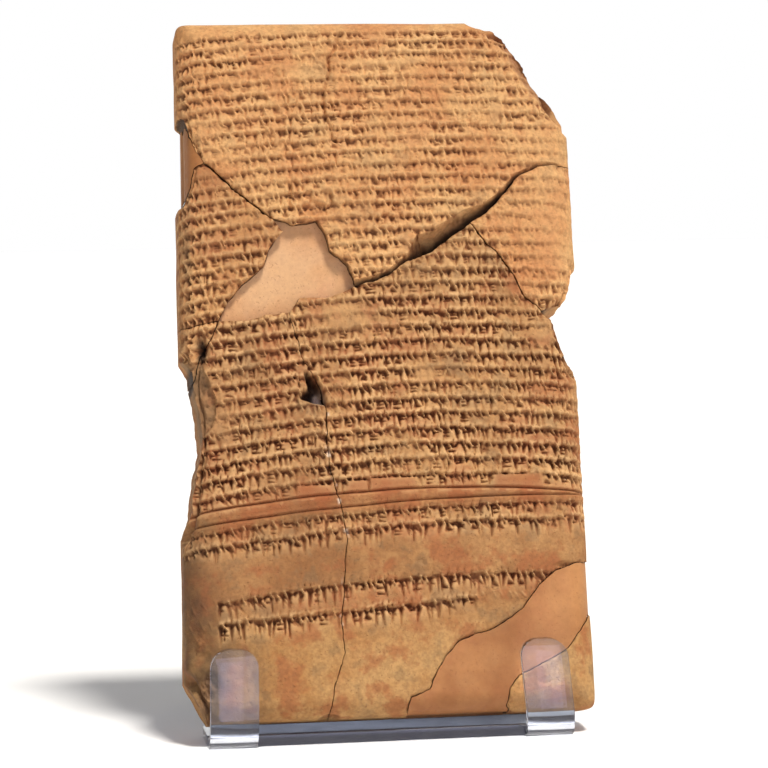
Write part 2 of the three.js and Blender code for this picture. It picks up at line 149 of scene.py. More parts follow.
def read_sheet(sheet, x, z):
    """A flat map's value at any places, between its points."""
    column = np.clip((x - sheet_x[0, 0]) / SHEET_STEP, 0, sheet.shape[1] - 1.001)
    row = np.clip((z - sheet_z[0, 0]) / SHEET_STEP, 0, sheet.shape[0] - 1.001)
    i, j = row.astype(int), column.astype(int)
    s, t = row - i, column - j
    return ((1 - s) * ((1 - t) * sheet[i, j] + t * sheet[i, j + 1])
            + s * ((1 - t) * sheet[i + 1, j] + t * sheet[i + 1, j + 1]))


def blur(sheet, reach):
    """A flat map softened over this many millimetres."""
    reach = reach / SHEET_STEP
    half = math.ceil(3 * reach)
    weights = np.exp(-0.5 * (np.arange(-half, half + 1) / reach) ** 2)
    weights /= weights.sum()
    for axis in (0, 1):
        width = [(half, half) if a == axis else (0, 0) for a in (0, 1)]
        padded = np.pad(sheet, width, mode="edge")
        length = sheet.shape[axis]
        sheet = sum(w * (padded[i:i + length] if axis == 0 else padded[:, i:i + length])
                    for i, w in enumerate(weights))
    return sheet


def distance_to(points, reach):
    """A flat map of the distance to a run of close points, no more than reach."""
    distance = np.full(sheet_x.shape, float(reach))
    half = math.ceil(reach / SHEET_STEP)
    for x, z in points:
        j = int(round((x - sheet_x[0, 0]) / SHEET_STEP))
        i = int(round((z - sheet_z[0, 0]) / SHEET_STEP))
        rows = slice(max(i - half, 0), max(i + half + 1, 0))
        columns = slice(max(j - half, 0), max(j + half + 1, 0))
        window = distance[rows, columns]
        np.minimum(window, np.hypot(sheet_x[rows, columns] - x, sheet_z[rows, columns] - z), out=window)
    return distance


def spot(x, z, across, high, softness=0.4):
    """A flat map that is 1 in an oval and fades to 0 past its edge."""
    away = np.hypot((sheet_x - x) / across, (sheet_z - z) / high)
    return 1 - soft_step(1 - softness, 1 + softness, away)


# ------------------------------------------------------------------------------------------------
# Where the tablet is broken: [x, z] along each line, seen from the front
# ------------------------------------------------------------------------------------------------

JOINS = {
    "upper_to_left_fill": [(-72, 176), (-52, 172), (-50, 165), (-47, 158.5)],
    "upper_to_left": [(-47, 158.5), (-43, 155), (-38, 150), (-33, 146), (-29, 142.5)],
    "upper_to_centre_fill": [(-29, 142.5), (-23, 140.5), (-16, 142), (-14, 138), (-13, 133), (-8, 129),
                             (-6, 122.5)],
    "upper_to_lower_right": [(-6, 122.5), (0, 124.5), (5, 127.5), (8, 130), (15, 132), (19, 135),
                             (27, 140.5)],
    "upper_to_right": [(27, 140.5), (32, 143.5), (38, 149), (41, 153.5), (47, 156.5), (72, 157)],
    "right_to_lower_right": [(27, 140.5), (32, 134), (36, 129), (39, 124), (41, 119), (46, 115)],
    "left_fill_to_left": [(-47, 158.5), (-50, 157), (-51, 152), (-53, 147), (-72, 144)],
    "left_to_centre_fill": [(-29, 142.5), (-26, 138.5), (-30, 134), (-32, 129), (-37, 124.5), (-42, 119),
                            (-44.5, 114.5)],
    "left_to_sliver": [(-44.5, 114.5), (-51, 113), (-72, 111.5)],
    "sliver_to_lower_left": [(-44.5, 114.5), (-47, 108), (-49.5, 104.5), (-51.2, 101), (-52, 97.5)],
    "centre_fill_to_lower_left": [(-44.5, 114.5), (-37, 113.5), (-32, 115.5), (-25, 115.5)],
    "centre_fill_to_lower_right": [(-25, 115.5), (-22, 120), (-14, 120), (-6, 122.5)],
    "lower_left_to_lower_right": [(-25, 115.5), (-23, 108), (-22, 103.5), (-17.5, 95), (-16, 88), (-16, 74),
                                  (-13, 62), (-12, 54), (-13, 41), (-14, 30), (-13.5, 22), (-16.5, 14),
                                  (-18, 6), (-19, -10)],
    "lower_right_to_corner_fill": [(72, 46), (54, 44.5), (46, 42), (41, 38), (36, 32), (29, 27.5),
                                   (18, 24), (14, 20), (11, 15), (9, 11), (4, 9), (3, 5), (4, -10)],
    "corner_fill_to_corner": [(72, 33), (55, 30), (51, 25), (48, 21), (44, 18.5), (38, 16), (34, 14),
                              (31, 10), (30, 6), (33, 2), (36, -10)],
}
BROKEN_EDGES = {
    "upper_right": [(72, 170), (57.5, 169.5), (51.5, 175.5), (46.5, 181.8), (43.3, 188), (40.5, 192.5),
                    (36.5, 197.5), (32, 201), (29, 215)],
    "below_right": [(46, 115), (52, 116.5), (55, 121), (56, 127), (72, 130)],
    "above_lower_right": [(46, 115), (49, 112), (51, 105), (53, 99.5), (55.5, 96.5), (72, 92)],
    "sliver_foot": [(-52, 97.5), (-52.5, 101), (-55.3, 104.5), (-72, 106)],
    "lower_left_rim": [(-52, 97.5), (-50.8, 90), (-49.9, 80), (-51.9, 73), (-53.4, 62), (-56.6, 54),
                       (-72, 50)],
    "lower_left_corner": [(-49, -10), (-50, 3), (-52.5, 7.5), (-54.2, 11.2), (-57.2, 16.5), (-72, 20)],
}
# Each piece goes round its lines in order. A minus sign runs a line backwards, and a pair is a corner
# outside the tablet.
OUTLINES = {
    "upper_fragment": [(-72, 215), "upper_to_left_fill", "upper_to_left", "upper_to_centre_fill",
                       "upper_to_lower_right", "upper_to_right", "upper_right"],
    "left_fragment": ["-left_fill_to_left", "upper_to_left", "left_to_centre_fill", "left_to_sliver"],
    "left_sliver": ["-left_to_sliver", "sliver_to_lower_left", "sliver_foot"],
    "right_fragment": ["-upper_to_right", "right_to_lower_right", "below_right"],
    "lower_left_fragment": ["centre_fill_to_lower_left", "lower_left_to_lower_right", "lower_left_corner",
                            "-lower_left_rim", "-sliver_to_lower_left"],
    "lower_right_fragment": ["centre_fill_to_lower_right", "upper_to_lower_right", "right_to_lower_right",
                             "above_lower_right", "lower_right_to_corner_fill",
                             "-lower_left_to_lower_right"],
    "corner_fragment": ["corner_fill_to_corner", (72, -10)],
    "left_fill": ["upper_to_left_fill", "left_fill_to_left"],
    "centre_fill": ["upper_to_centre_fill", "-centre_fill_to_lower_right", "-centre_fill_to_lower_left",
                    "-left_to_centre_fill"],
    "corner_fill": ["lower_right_to_corner_fill", "-corner_fill_to_corner"],
}
# The lower edge of the upper fragment has flaked away: [x, how far the gap opens at the surface].
BREAK_OPENING = [(-6, 1.8), (-1, 2.0), (5, 1.2), (9, 1.8), (14, 7), (19, 4.6), (24, 4.6), (31, 3.3), (38, 1.6),
                 (47, 1.1), (57, 0.6)]
BREAK_DEPTH_PER_OPENING = 1.5
PIT = [(-21.5, 99.5), (-17.5, 95), (-16, 90), (-19, 90.5), (-23, 92), (-20.5, 94.5)]
PIT_DEPTH = 8.0
FLUSH_FILL_DEPTH, CENTRE_FILL_DEPTH, LEFT_FILL_SIDE_DEPTH = 0.8, 3.5, 2.0


def dense(points, step):
    """A line with extra points, no further apart than step."""
    out = []
    for (x0, z0), (x1, z1) in zip(points, points[1:]):
        count = max(1, math.ceil(math.hypot(x1 - x0, z1 - z0) / step))
        out += [(x0 + (x1 - x0) * i / count, z0 + (z1 - z0) * i / count) for i in range(count)]
    return np.array(out + [points[-1]], dtype=float)


def line_named(name):
    points = JOINS.get(name.lstrip("-")) or BROKEN_EDGES[name.lstrip("-")]
    return points[::-1] if name.startswith("-") else points


def outline_of(piece):
    points = []
    for part in OUTLINES[piece]:
        for point in ([part] if isinstance(part, tuple) else line_named(part)):
            if not points or point != points[-1]:
                points.append(point)
    return points if points[0] != points[-1] else points[:-1]


def crumble(points):
    """How rough broken clay strays from its smooth line, as [x, z] shifts at [x, y, z] places."""
    squeezed = points * np.array([1, 0.6, 1])
    return np.stack([0.75 * cloud(squeezed, 7, 2, 11 + 30 * axis) + 0.3 * cloud(points, 1.6, 2, 12 + 30 * axis)
                     for axis in (0, 1)], axis=1)


def crumbled_line(points, step=0.3, depth=-RIM_THICKNESS / 2 - 0.8):
    """A broken line as it shows at the surface."""
    points = dense([p for p in points if abs(p[0]) < BEYOND and -9 < p[1] < 210], step)
    return points + crumble(np.stack([points[:, 0], np.full(len(points), depth), points[:, 1]], axis=1))


# ------------------------------------------------------------------------------------------------
# The writing: rows of strokes that copy the look of the script but spell nothing
# ------------------------------------------------------------------------------------------------

ROWS = 34
FIRST_LINE, FIRST_PITCH, PITCH_GROWTH = 196.4, 3.35, 0.0145
CROWN_AT, CROWN_REACH, DROOP_TOP, DROOP_FOOT = 14.0, 60.0, 2.2, 4.6
RULINGS = (66.0, 4.2, 14.0, 60.0), (63.4, 5.4, 40.0, 86.0)
DOWN, ACROSS, ASLANT = -math.pi / 2, 0.0, -math.radians(52)


def row_line(row):
    """The height of a row of the main text along x."""
    line = FIRST_LINE - FIRST_PITCH * row - PITCH_GROWTH * row * row
    droop = DROOP_TOP + (DROOP_FOOT - DROOP_TOP) * row / ROWS
    return lambda x: line - droop * ((x - CROWN_AT) / CROWN_REACH) ** 2


def arch(top, droop, crown, reach):
    return lambda x: top - droop * ((x - crown) / reach) ** 2


# [line, pitch, from x, to x, how far the last strokes trail down]
text_rows = [(row_line(row), FIRST_PITCH + PITCH_GROWTH * (2 * row + 1), -70, 70, 0.0)
             for row in range(ROWS)]
text_rows += [
    (arch(61.5, 5.4, 40, 86), 4.4, -70, 70, 0.0),
    (arch(57.1, 5.2, 40, 86), 4.2, -70, 70, 1.8),
    (arch(42.3, 6.0, 30, 79), 6.3, -48, 50, 0.0),
    (lambda x: 35.6 - 0.073 * (20 - x), 4.8, -48, 23, 2.0),
]


class Strokes:
    """Strokes gathered one by one: where the head is pressed, which way the tail runs, and its size."""

    def __init__(self):
        self.heads, self.turns, self.sizes = [], [], []

    def press(self, x, z, turn, length, width, depth):
        self.heads.append((x, z, 0.0))
        self.turns.append(turn + rng.normal(0, 0.09))
        self.sizes.append((length, width, depth))

    def heads_along(self, line, pitch, start, end, tail):
        """Upright strokes side by side under the line, some short and some right through the row."""
        x = start
        while x < end:
            wide = rng.uniform(0.9, 2.3)
            length = pitch * rng.uniform(0.4, 0.6)
            if rng.random() < 0.6:
                length = pitch * rng.uniform(0.85, 1.15) + tail * rng.uniform(0.3, 1.0)
            self.press(x + wide / 2, line(x) + rng.uniform(-0.3, 0.25), DOWN, length,
                       wide * rng.uniform(0.85, 1.1), rng.uniform(0.9, 2.0))
            x += wide

    def levels(self, x, line, pitch):
        count, length = rng.integers(2, 4), rng.uniform(2.0, 3.7)
        for k in range(count):
            self.press(x, line(x) - 0.6 - k * pitch * 0.25, ACROSS, length, 1.1, 1.4)
        return length

    def slants(self, x, line, pitch):
        count = rng.integers(2, 4)
        for k in range(count):
            at = x + k * 1.05
            self.press(at, line(at) - 0.4 - 0.2 * k, ASLANT, pitch * 0.75, 1.5, 1.3)
        return count * 1.05 + 0.8

    def corner(self, x, line, pitch):
        self.press(x, line(x) - 0.5 * pitch, -0.35, 2.3, 2.7, 1.5)
        return 2.1


def composed_strokes():
    strokes = Strokes()
    for line, pitch, start, end, tail in text_rows:
        strokes.heads_along(line, pitch, start, end, tail)
        x = start + rng.uniform(0, 1.5)
        while x < end:
            kind = rng.choice([strokes.levels, strokes.slants, strokes.corner], p=[0.5, 0.25, 0.25])
            x += kind(x, line, pitch) + rng.exponential(2.2)
    return strokes


def stylus_tip():
    """The dent one press of the stylus leaves: head at 0, tail end at 1 along x, 1 wide and 1 deep."""
    corners = [(0, 0.5, 0.1), (0, -0.5, 0.1), (0.4, -0.28, 0.1), (1, 0, 0.1), (0.4, 0.28, 0.1),
               (0.1, 0, -1), (0.75, 0, -0.6)]
    faces = [(0, 4, 3, 2, 1), (1, 5, 0), (0, 5, 6, 4), (4, 6, 3), (3, 6, 2), (2, 6, 5, 1)]
    mesh = bpy.data.meshes.new("stylus_tip")
    mesh.from_pydata(corners, [], faces)
    return object_from("stylus_tip", mesh)


def new_tree(name, inputs):
    """A Geometry Nodes tree with named inputs: (name, socket kind, value)."""
    tree = bpy.data.node_groups.new(name, "GeometryNodeTree")
    tree.is_modifier = True
    tree.interface.new_socket("Geometry", in_out="INPUT", socket_type="NodeSocketGeometry")
    for label, kind, value in inputs:
        socket = tree.interface.new_socket(label, in_out="INPUT", socket_type=kind)
        if value is not None:
            socket.default_value = value
    tree.interface.new_socket("Geometry", in_out="OUTPUT", socket_type="NodeSocketGeometry")
    return tree, tree.nodes.new("NodeGroupInput"), tree.nodes.new("NodeGroupOutput")


def grown(thing, tree, values):
    """Runs a tree on an object with its inputs set, and gives back the plain mesh it makes."""
    modifier = thing.modifiers.new(tree.name, "NODES")
    modifier.node_group = tree
    identifiers = {item.name: item.identifier for item in tree.interface.items_tree
                   if item.item_type == "SOCKET" and item.in_out == "INPUT"}
    for label, value in values.items():
        modifier[identifiers[label]] = value
    seen = thing.evaluated_get(bpy.context.evaluated_depsgraph_get())
    mesh = bpy.data.meshes.new_from_object(seen)
    thing.modifiers.remove(modifier)
    return mesh


def pressing_tree():
    """Presses a stylus tip at every point and reads how deep the clay is dented over a flat grid."""
    tree, start, end = new_tree("pressed_writing", [
        ("Stylus Tip", "NodeSocketObject", None),
        ("Length", "NodeSocketFloat", 1.0), ("Width", "NodeSocketFloat", 1.0),
        ("Depth", "NodeSocketFloat", 1.0),
        ("Clay Width", "NodeSocketFloat", 100.0), ("Clay Height", "NodeSocketFloat", 200.0),
        ("Columns", "NodeSocketInt", 100), ("Rows", "NodeSocketInt", 200),
        ("Middle", "NodeSocketVector", (0.0, 0.0, 0.0)),
        ("Clay", "NodeSocketMaterial", None),
    ])

    def node(kind, **settings):
        made = tree.nodes.new(kind)
        for key, value in settings.items():
            setattr(made, key, value)
        return made

    def attribute(name, kind):
        made = node("GeometryNodeInputNamedAttribute", data_type=kind)
        made.inputs["Name"].default_value = name
        return made.outputs["Attribute"]

    link = tree.links.new
    tip = node("GeometryNodeObjectInfo")
    link(start.outputs["Stylus Tip"], tip.inputs["Object"])
    stretch = node("ShaderNodeCombineXYZ")
    for axis, label in zip("XYZ", ("Length", "Width", "Depth")):
        link(start.outputs[label], stretch.inputs[axis])
    size = node("ShaderNodeVectorMath", operation="MULTIPLY")
    link(attribute("size", "FLOAT_VECTOR"), size.inputs[0])
    link(stretch.outputs[0], size.inputs[1])
    turn = node("ShaderNodeCombineXYZ")
    link(attribute("turn", "FLOAT"), turn.inputs["Z"])
    placed = node("GeometryNodeInstanceOnPoints")
    link(start.outputs["Geometry"], placed.inputs["Points"])
    link(tip.outputs["Geometry"], placed.inputs["Instance"])
    link(turn.outputs[0], placed.inputs["Rotation"])
    link(size.outputs[0], placed.inputs["Scale"])
    dents = node("GeometryNodeRealizeInstances")
    link(placed.outputs["Instances"], dents.inputs["Geometry"])

    clay = node("GeometryNodeMeshGrid")
    for label, socket in (("Clay Width", "Size X"), ("Clay Height", "Size Y"), ("Columns", "Vertices X"),
                          ("Rows", "Vertices Y")):
        link(start.outputs[label], clay.inputs[socket])
    moved = node("GeometryNodeTransform")
    link(clay.outputs["Mesh"], moved.inputs["Geometry"])
    link(start.outputs["Middle"], moved.inputs["Translation"])
    below = node("ShaderNodeVectorMath", operation="ADD")
    link(node("GeometryNodeInputPosition").outputs[0], below.inputs[0])
    below.inputs[1].default_value = (0, 0, -5)
    probe = node("GeometryNodeRaycast", data_type="FLOAT")
    link(dents.outputs["Geometry"], probe.inputs["Target Geometry"])
    link(below.outputs[0], probe.inputs["Source Position"])
    probe.inputs["Ray Direction"].default_value = (0, 0, 1)
    probe.inputs["Ray Length"].default_value = 5
    reached = node("ShaderNodeMath", operation="SUBTRACT")
    reached.inputs[0].default_value = 5
    link(probe.outputs["Hit Distance"], reached.inputs[1])
    hit = node("ShaderNodeMath", operation="MULTIPLY")
    link(reached.outputs[0], hit.inputs[0])
    link(probe.outputs["Is Hit"], hit.inputs[1])
    kept = node("GeometryNodeStoreNamedAttribute", data_type="FLOAT", domain="POINT")
    kept.inputs["Name"].default_value = "dent"
    link(moved.outputs["Geometry"], kept.inputs["Geometry"])
    link(hit.outputs[0], kept.inputs["Value"])
    plain = node("GeometryNodeRealizeInstances")
    link(kept.outputs["Geometry"], plain.inputs["Geometry"])
    skinned = node("GeometryNodeSetMaterial")
    link(plain.outputs["Geometry"], skinned.inputs["Geometry"])
    link(start.outputs["Clay"], skinned.inputs["Material"])
    link(skinned.outputs["Geometry"], end.inputs["Geometry"])
    return tree


def pressed_sheet(strokes, stylus, tree, clay):
    """The flat map of how deep the strokes go."""
    points = bpy.data.meshes.new("stroke_heads")
    points.from_pydata(strokes.heads, [], [])
    points.attributes.new("turn", "FLOAT", "POINT").data.foreach_set("value", strokes.turns)
    sizes = np.array(strokes.sizes, dtype=np.float32).ravel()
    points.attributes.new("size", "FLOAT_VECTOR", "POINT").data.foreach_set("vector", sizes)
    thing = object_from("stroke_heads", points)
    rows, columns = sheet_x.shape
    mesh = grown(thing, tree, {
        "Stylus Tip": stylus, "Clay": clay, "Columns": columns, "Rows": rows,
        "Clay Width": float(sheet_x[0, -1] - sheet_x[0, 0]),
        "Clay Height": float(sheet_z[-1, 0] - sheet_z[0, 0]),
        "Middle": (float(sheet_x[0].mean()), float(sheet_z[:, 0].mean()), 0.0),
    })
    depth = np.empty(len(mesh.vertices), dtype=np.float32)
    mesh.attributes["dent"].data.foreach_get("value", depth)
    places = places_of(mesh)
    order = np.lexsort((places[:, 0], places[:, 1].round(3)))
    bpy.data.objects.remove(thing)
    bpy.data.meshes.remove(mesh)
    return depth[order].reshape(rows, columns).astype(float)


def noise_along(x, size, seed):
    """Soft noise along a line of x places."""
    return cloud(np.stack([x, np.full(len(x), 5.3 * seed), np.zeros(len(x))], axis=1), size, 2, 8)


def row_relief():
    """Each row as a furrow: a deep slit under its line crossed by thin ridges, a slope and a rounded lip.

    Gives how deep the furrows go, how far the lips stand up, what part of every dent is left where a ridge
    crosses it, and how much each place is text.
    """
    furrows, lips, text = (np.zeros(sheet_x.shape) for _ in range(3))
    ridges = np.ones(sheet_x.shape)
    x = sheet_x[0]
    for number, (line, pitch, start, end, tail) in enumerate(text_rows):
        top = line(x) + 0.5 * noise_along(x, 7, number)
        ends = soft_step(start - 0.5, start + 1, x) * soft_step(end + 0.5, end - 1, x)
        ends *= np.clip(0.95 + 0.7 * noise_along(x, 9, number + 50), 0.5, 1.2)
        band = slice(*np.searchsorted(sheet_z[:, 0], (top.min() - pitch - tail - 1, top.max() + 2)))
        down, across = top[None, :] - sheet_z[band], sheet_x[band]
        cuts = np.cumsum(rng.uniform(0.9, 2.7, 90)) - BEYOND
        lump = np.clip(np.searchsorted(cuts, across + 0.2 * down), 1, 89)
        place = (across + 0.2 * down - cuts[lump - 1]) / (cuts[lump] - cuts[lump - 1])
        swell = np.clip(4 * place * (1 - place), 0, 1) ** 0.6
        hang, height, shade = rng.uniform(-0.5, 0.8, 90), rng.uniform(0.0, 1.1, 90), rng.uniform(0.35, 1.25, 90)
        down = down - hang[lump] * swell
        slit = 0.45 * np.exp(-(np.maximum(down - 0.25, 0) / 0.5) ** 2) * shade[lump]
        slope = 0.55 * (1 - np.clip(down / (0.8 * pitch), 0, 1))
        furrows[band] = np.maximum(furrows[band], (slit + slope) * ends * soft_step(-0.06, 0.16, down))
        for ridge in np.cumsum(rng.uniform(1.2, 5.0, 50)) - BEYOND:
            near = np.clip(1.5 - np.abs(across - ridge - 0.5 * down) / 0.22, 0, 1)
            near *= soft_step(-1.1, -0.6, down) * soft_step(rng.uniform(1.2, 2.8), 0.9, down)
            ridges[band] = np.minimum(ridges[band], 1 - near)
        if number:
            over = np.exp(-((down + 0.75) / 0.6) ** 2) * height[lump] * swell * ends
            lips[band] = np.maximum(lips[band], over)
            notch = np.clip(1 - 1.7 * swell, 0, 1) * shade[lump] * soft_step(-2.0, -1.0, down) * (down < 0.3)
            furrows[band] = np.maximum(furrows[band], notch * ends)
        text[band] = np.maximum(text[band], ends * soft_step(-0.4, 0, down)
                                * (1 - soft_step(pitch + tail, pitch + tail + 0.5, down)))
    return furrows, lips, ridges, text


# ------------------------------------------------------------------------------------------------
# Relief of the face, as flat maps of how far the clay lies below its smooth skin
# ------------------------------------------------------------------------------------------------

HAIRLINES = [   # [points, width, depth]
    ([(-7, 196), (-8, 194), (-9, 191), (-11, 188), (-11, 184), (-13, 176), (-13, 172), (-12, 169),
      (-11, 165), (-9, 164)], 0.45, 1.2),
    ([(-23, 152), (-23.6, 148), (-24, 145)], 0.5, 1.4),
    ([(-12, 149), (-12, 146), (-15, 144)], 0.5, 1.3),
]
HOLLOWS = [     # [x, z, half width, half height, depth]
    (-50.2, 105.6, 2.2, 3.8, 4.5),
    (-17.0, 145.0, 3.0, 1.9, 1.8), (-51.5, 14.0, 3.4, 3.8, 2.4), (-53.5, 25.0, 3.2, 4.5, 1.2),
    (-54.0, 7.0, 4.5, 4.0, 1.5), (-18.2, 3.4, 2.4, 1.4, 1.6), (23.5, 4.2, 4.6, 1.2, 1.3),
    (50.0, 43.6, 4.0, 1.0, 1.4), (-9.0, 26.0, 1.2, 0.9, 0.35), (41.0, 12.0, 1.5, 1.0, 0.3),
    (-32.0, 22.0, 1.4, 1.0, 0.3), (8.0, 46.0, 1.3, 0.8, 0.3), (33.0, 47.5, 1.0, 0.8, 0.35),
]
SMOOTH_PATCHES = [   # [x, z, half width, half height]: places where the strokes are worn away
    (-46, 182, 10, 1.9), (-24, 184.3, 14, 2.3), (2, 186.3, 14, 1.9), (3, 194, 6, 3), (35, 172.5, 5, 3), (33.5, 159, 3.5, 3.5), (-10, 114, 10, 5),
    (50, 148, 9, 6), (51, 132, 8, 9), (-38, 191, 8, 2.5), (26, 186, 5, 2), (-44, 84, 4, 5),
    (12, 98, 4, 2), (46, 108, 4, 4),
]
BLOCKS = [(-20.5, 65.5, 4.4, 2.0), (-8.4, 66.5, 2.6, 2.0), (1.6, 67.0, 6.2, 2.0), (36.5, 67.0, 6.6, 2.1)]
BARE_RIM = [(-72, 106), (-50, 102), (-48, 97), (-46.2, 92), (-46.4, 88), (-47.5, 84.5), (-51, 81.5),
            (-72, 80)]
# How much the edges of each join are chipped, where it isn't 1.
CHIPPING = {"lower_left_to_lower_right": 0.25, "upper_to_centre_fill": 0.3, "left_to_centre_fill": 0.3,
            "centre_fill_to_lower_left": 0.3, "centre_fill_to_lower_right": 0.3, "right_to_lower_right": 0.6,
            "corner_fill_to_corner": 0.5}
JOIN_GAPS = {"lower_left_to_lower_right": 0.25, "lower_right_to_corner_fill": 0.2,
             "right_to_lower_right": 0.4, "upper_to_left": 0.5, "upper_to_centre_fill": 0.12, "left_to_centre_fill": 0.12,
             "centre_fill_to_lower_left": 0.12, "centre_fill_to_lower_right": 0.12}


def inside_outline(points, margin=0.0):
    """A flat map that is 1 inside an outline."""
    inside = np.zeros(sheet_x.shape, dtype=bool)
    for (x0, z0), (x1, z1) in zip(points, list(points[1:]) + [points[0]]):
        if z0 == z1:
            continue
        crossing = (sheet_z >= min(z0, z1)) & (sheet_z < max(z0, z1))
        inside ^= crossing & (sheet_x > x0 + (sheet_z - z0) * (x1 - x0) / (z1 - z0))
    return inside.astype(float)


def wear_map():
    """How worn the writing is: 0 crisp and 1 gone."""
    wear = 0.06 + 0.36 * soft_step(118, 140, sheet_z) + 0.25 * sheet_noise(14, 2, 61)
    wear += 0.4 * soft_step(34, 54, sheet_x) * soft_step(112, 124, sheet_z) * soft_step(172, 160, sheet_z)
    for x, z, across, high in SMOOTH_PATCHES:
        wear = np.maximum(wear, 0.9 * spot(x, z, across, high, 0.6) * np.clip(0.9 + sheet_noise(4, 2, 62), 0, 1))
    wear = np.maximum(wear, inside_outline(BARE_RIM))
    return np.clip(wear, 0, 1)


def writing_relief(strokes_map, wear):
    """How deep the writing is pressed, less how far its lips stand up, and where there is text."""
    furrows, lips, ridges, text = row_relief()
    dents = np.minimum(furrows + 1.05 * strokes_map * text, 2.5) * ridges
    lips = np.maximum(lips, 1.2 * (1 - ridges))
    for x, z, across, high in BLOCKS:
        bare = soft_step(1.15, 1.0, np.maximum(np.abs(sheet_x - x) / across, np.abs(sheet_z - z) / high))
        dents, lips = dents * (1 - bare), lips * (1 - bare)
    wobble = 0.2 * noise_along(sheet_x[0], 9, 7)
    for (top, droop, crown, reach), band in zip(RULINGS, (2.6, 1.6)):
        away = sheet_z - arch(top, droop, crown, reach)(sheet_x) - wobble
        dents = np.maximum(dents, 1.1 * np.exp(-(away / 0.28) ** 2))
        lips = np.maximum(lips, 0.9 * np.exp(-((away + band / 2) / (0.36 * band)) ** 4) * (away < 0))
    crisp = blur(dents - 0.3 * lips, 0.12)
    soft = blur(dents - 0.3 * lips, 0.5)
    relief = crisp * (1 - wear) + soft * wear * (1 - 0.6 * wear)
    return relief - 0.5 * np.clip(blur(dents, 1.0) - soft, -0.3, 0.3) * text * (1 - wear), text


def damage_relief():
    """Chipped joins, worn edges, hairline cracks, hollows and the pit."""
    ragged = 0.5 + 0.8 * sheet_noise(2.2, 3, 71)
    width = 0.45 + 0.9 * np.clip(sheet_noise(5, 2, 72), 0, 1)
    depth, crack = np.zeros(sheet_x.shape), np.zeros(sheet_x.shape)
    for name, points in JOINS.items():
        near, chipped = distance_to(crumbled_line(points), 2.6), CHIPPING.get(name, 1.0)
        crack = np.maximum(crack, soft_step(2.6, 1.0, near))
        chip = 1.3 * np.clip(1 - near / (width * (0.5 + 0.5 * chipped)), 0, 1) * np.clip(ragged + 0.3, 0.2, 1.3)
        depth = np.maximum(depth, chipped * (chip + 0.3 * np.clip(1 - near / 2.2, 0, 1) ** 2))
    depth += inside_outline(BARE_RIM) * (1.4 + 0.7 * sheet_noise(3.2, 3, 75) + 0.6 * sheet_noise(1.2, 2, 76))
    for name, inside, fall in (("upper_right", 4, 5), ("lower_left_rim", 2.2, 2.6), ("below_right", 1.5, 2),
                               ("above_lower_right", 1.5, 2), ("sliver_foot", 1.5, 1.5),
                               ("lower_left_corner", 3, 3)):
        near = distance_to(crumbled_line(BROKEN_EDGES[name]), inside + 1)
        slope = np.clip(1 - near / (inside * (1 + 0.35 * sheet_noise(4, 2, 73))), 0, 1)
        depth = np.maximum(depth, fall * slope ** 1.3 + 0.3 * slope * ragged)
    for points, wide, deep in HAIRLINES:
        near = distance_to(crumbled_line(points, 0.2), 2)
        depth = np.maximum(depth, deep * np.clip(1.3 - near / wide, 0, 1))
    for x, z, across, high, deep in HOLLOWS:
        rough = spot(x, z, across, high, 0.45) * np.clip(0.8 + 0.6 * sheet_noise(1.8, 3, 74), 0, 2)
        depth = np.maximum(depth, deep * rough)
    pit = blur(inside_outline(PIT), 0.35)
    return np.maximum(depth, PIT_DEPTH * pit * (0.85 + 0.2 * ragged)), pit, crack


def clay_unevenness(text):
    """The hand-made face: slow swells, finger-smoothed clay and fine pores."""
    slow = 0.22 * sheet_noise(26, 2, 81) + 0.10 * sheet_noise(7, 2, 82, 1.6)
    pores = 0.22 * soft_step(0.50, 0.72, sheet_noise(1.1, 2, 83))
    return 0.34 - slow + pores * (0.4 + 0.6 * (1 - text))


# ------------------------------------------------------------------------------------------------
# The tablet's skin: two faces, each a grid that wraps over the rim to the middle of the edge
# ------------------------------------------------------------------------------------------------

SIDE_SEAM = 0.5                 # each face stops this far short of the middle of the edge
ARC = EDGE_RADIUS * math.pi / 2
WRAP = ARC + RIM_THICKNESS / 2 - EDGE_RADIUS - SIDE_SEAM
CORE_X = HALF_WIDTH - EDGE_RADIUS
CORE_Z = (TOP - FOOT) / 2 - EDGE_RADIUS
MIDDLE_Z = (TOP + FOOT) / 2
STRETCH_X = (right_edge(100) - left_edge(100)) / 2 / HALF_WIDTH


def squared(along, across):
    """How far out a direction in plan reaches: like a radius, but round a corner that is nearly square."""
    return (np.abs(along) ** SQUARENESS + np.abs(across) ** SQUARENESS) ** (1 / SQUARENESS)


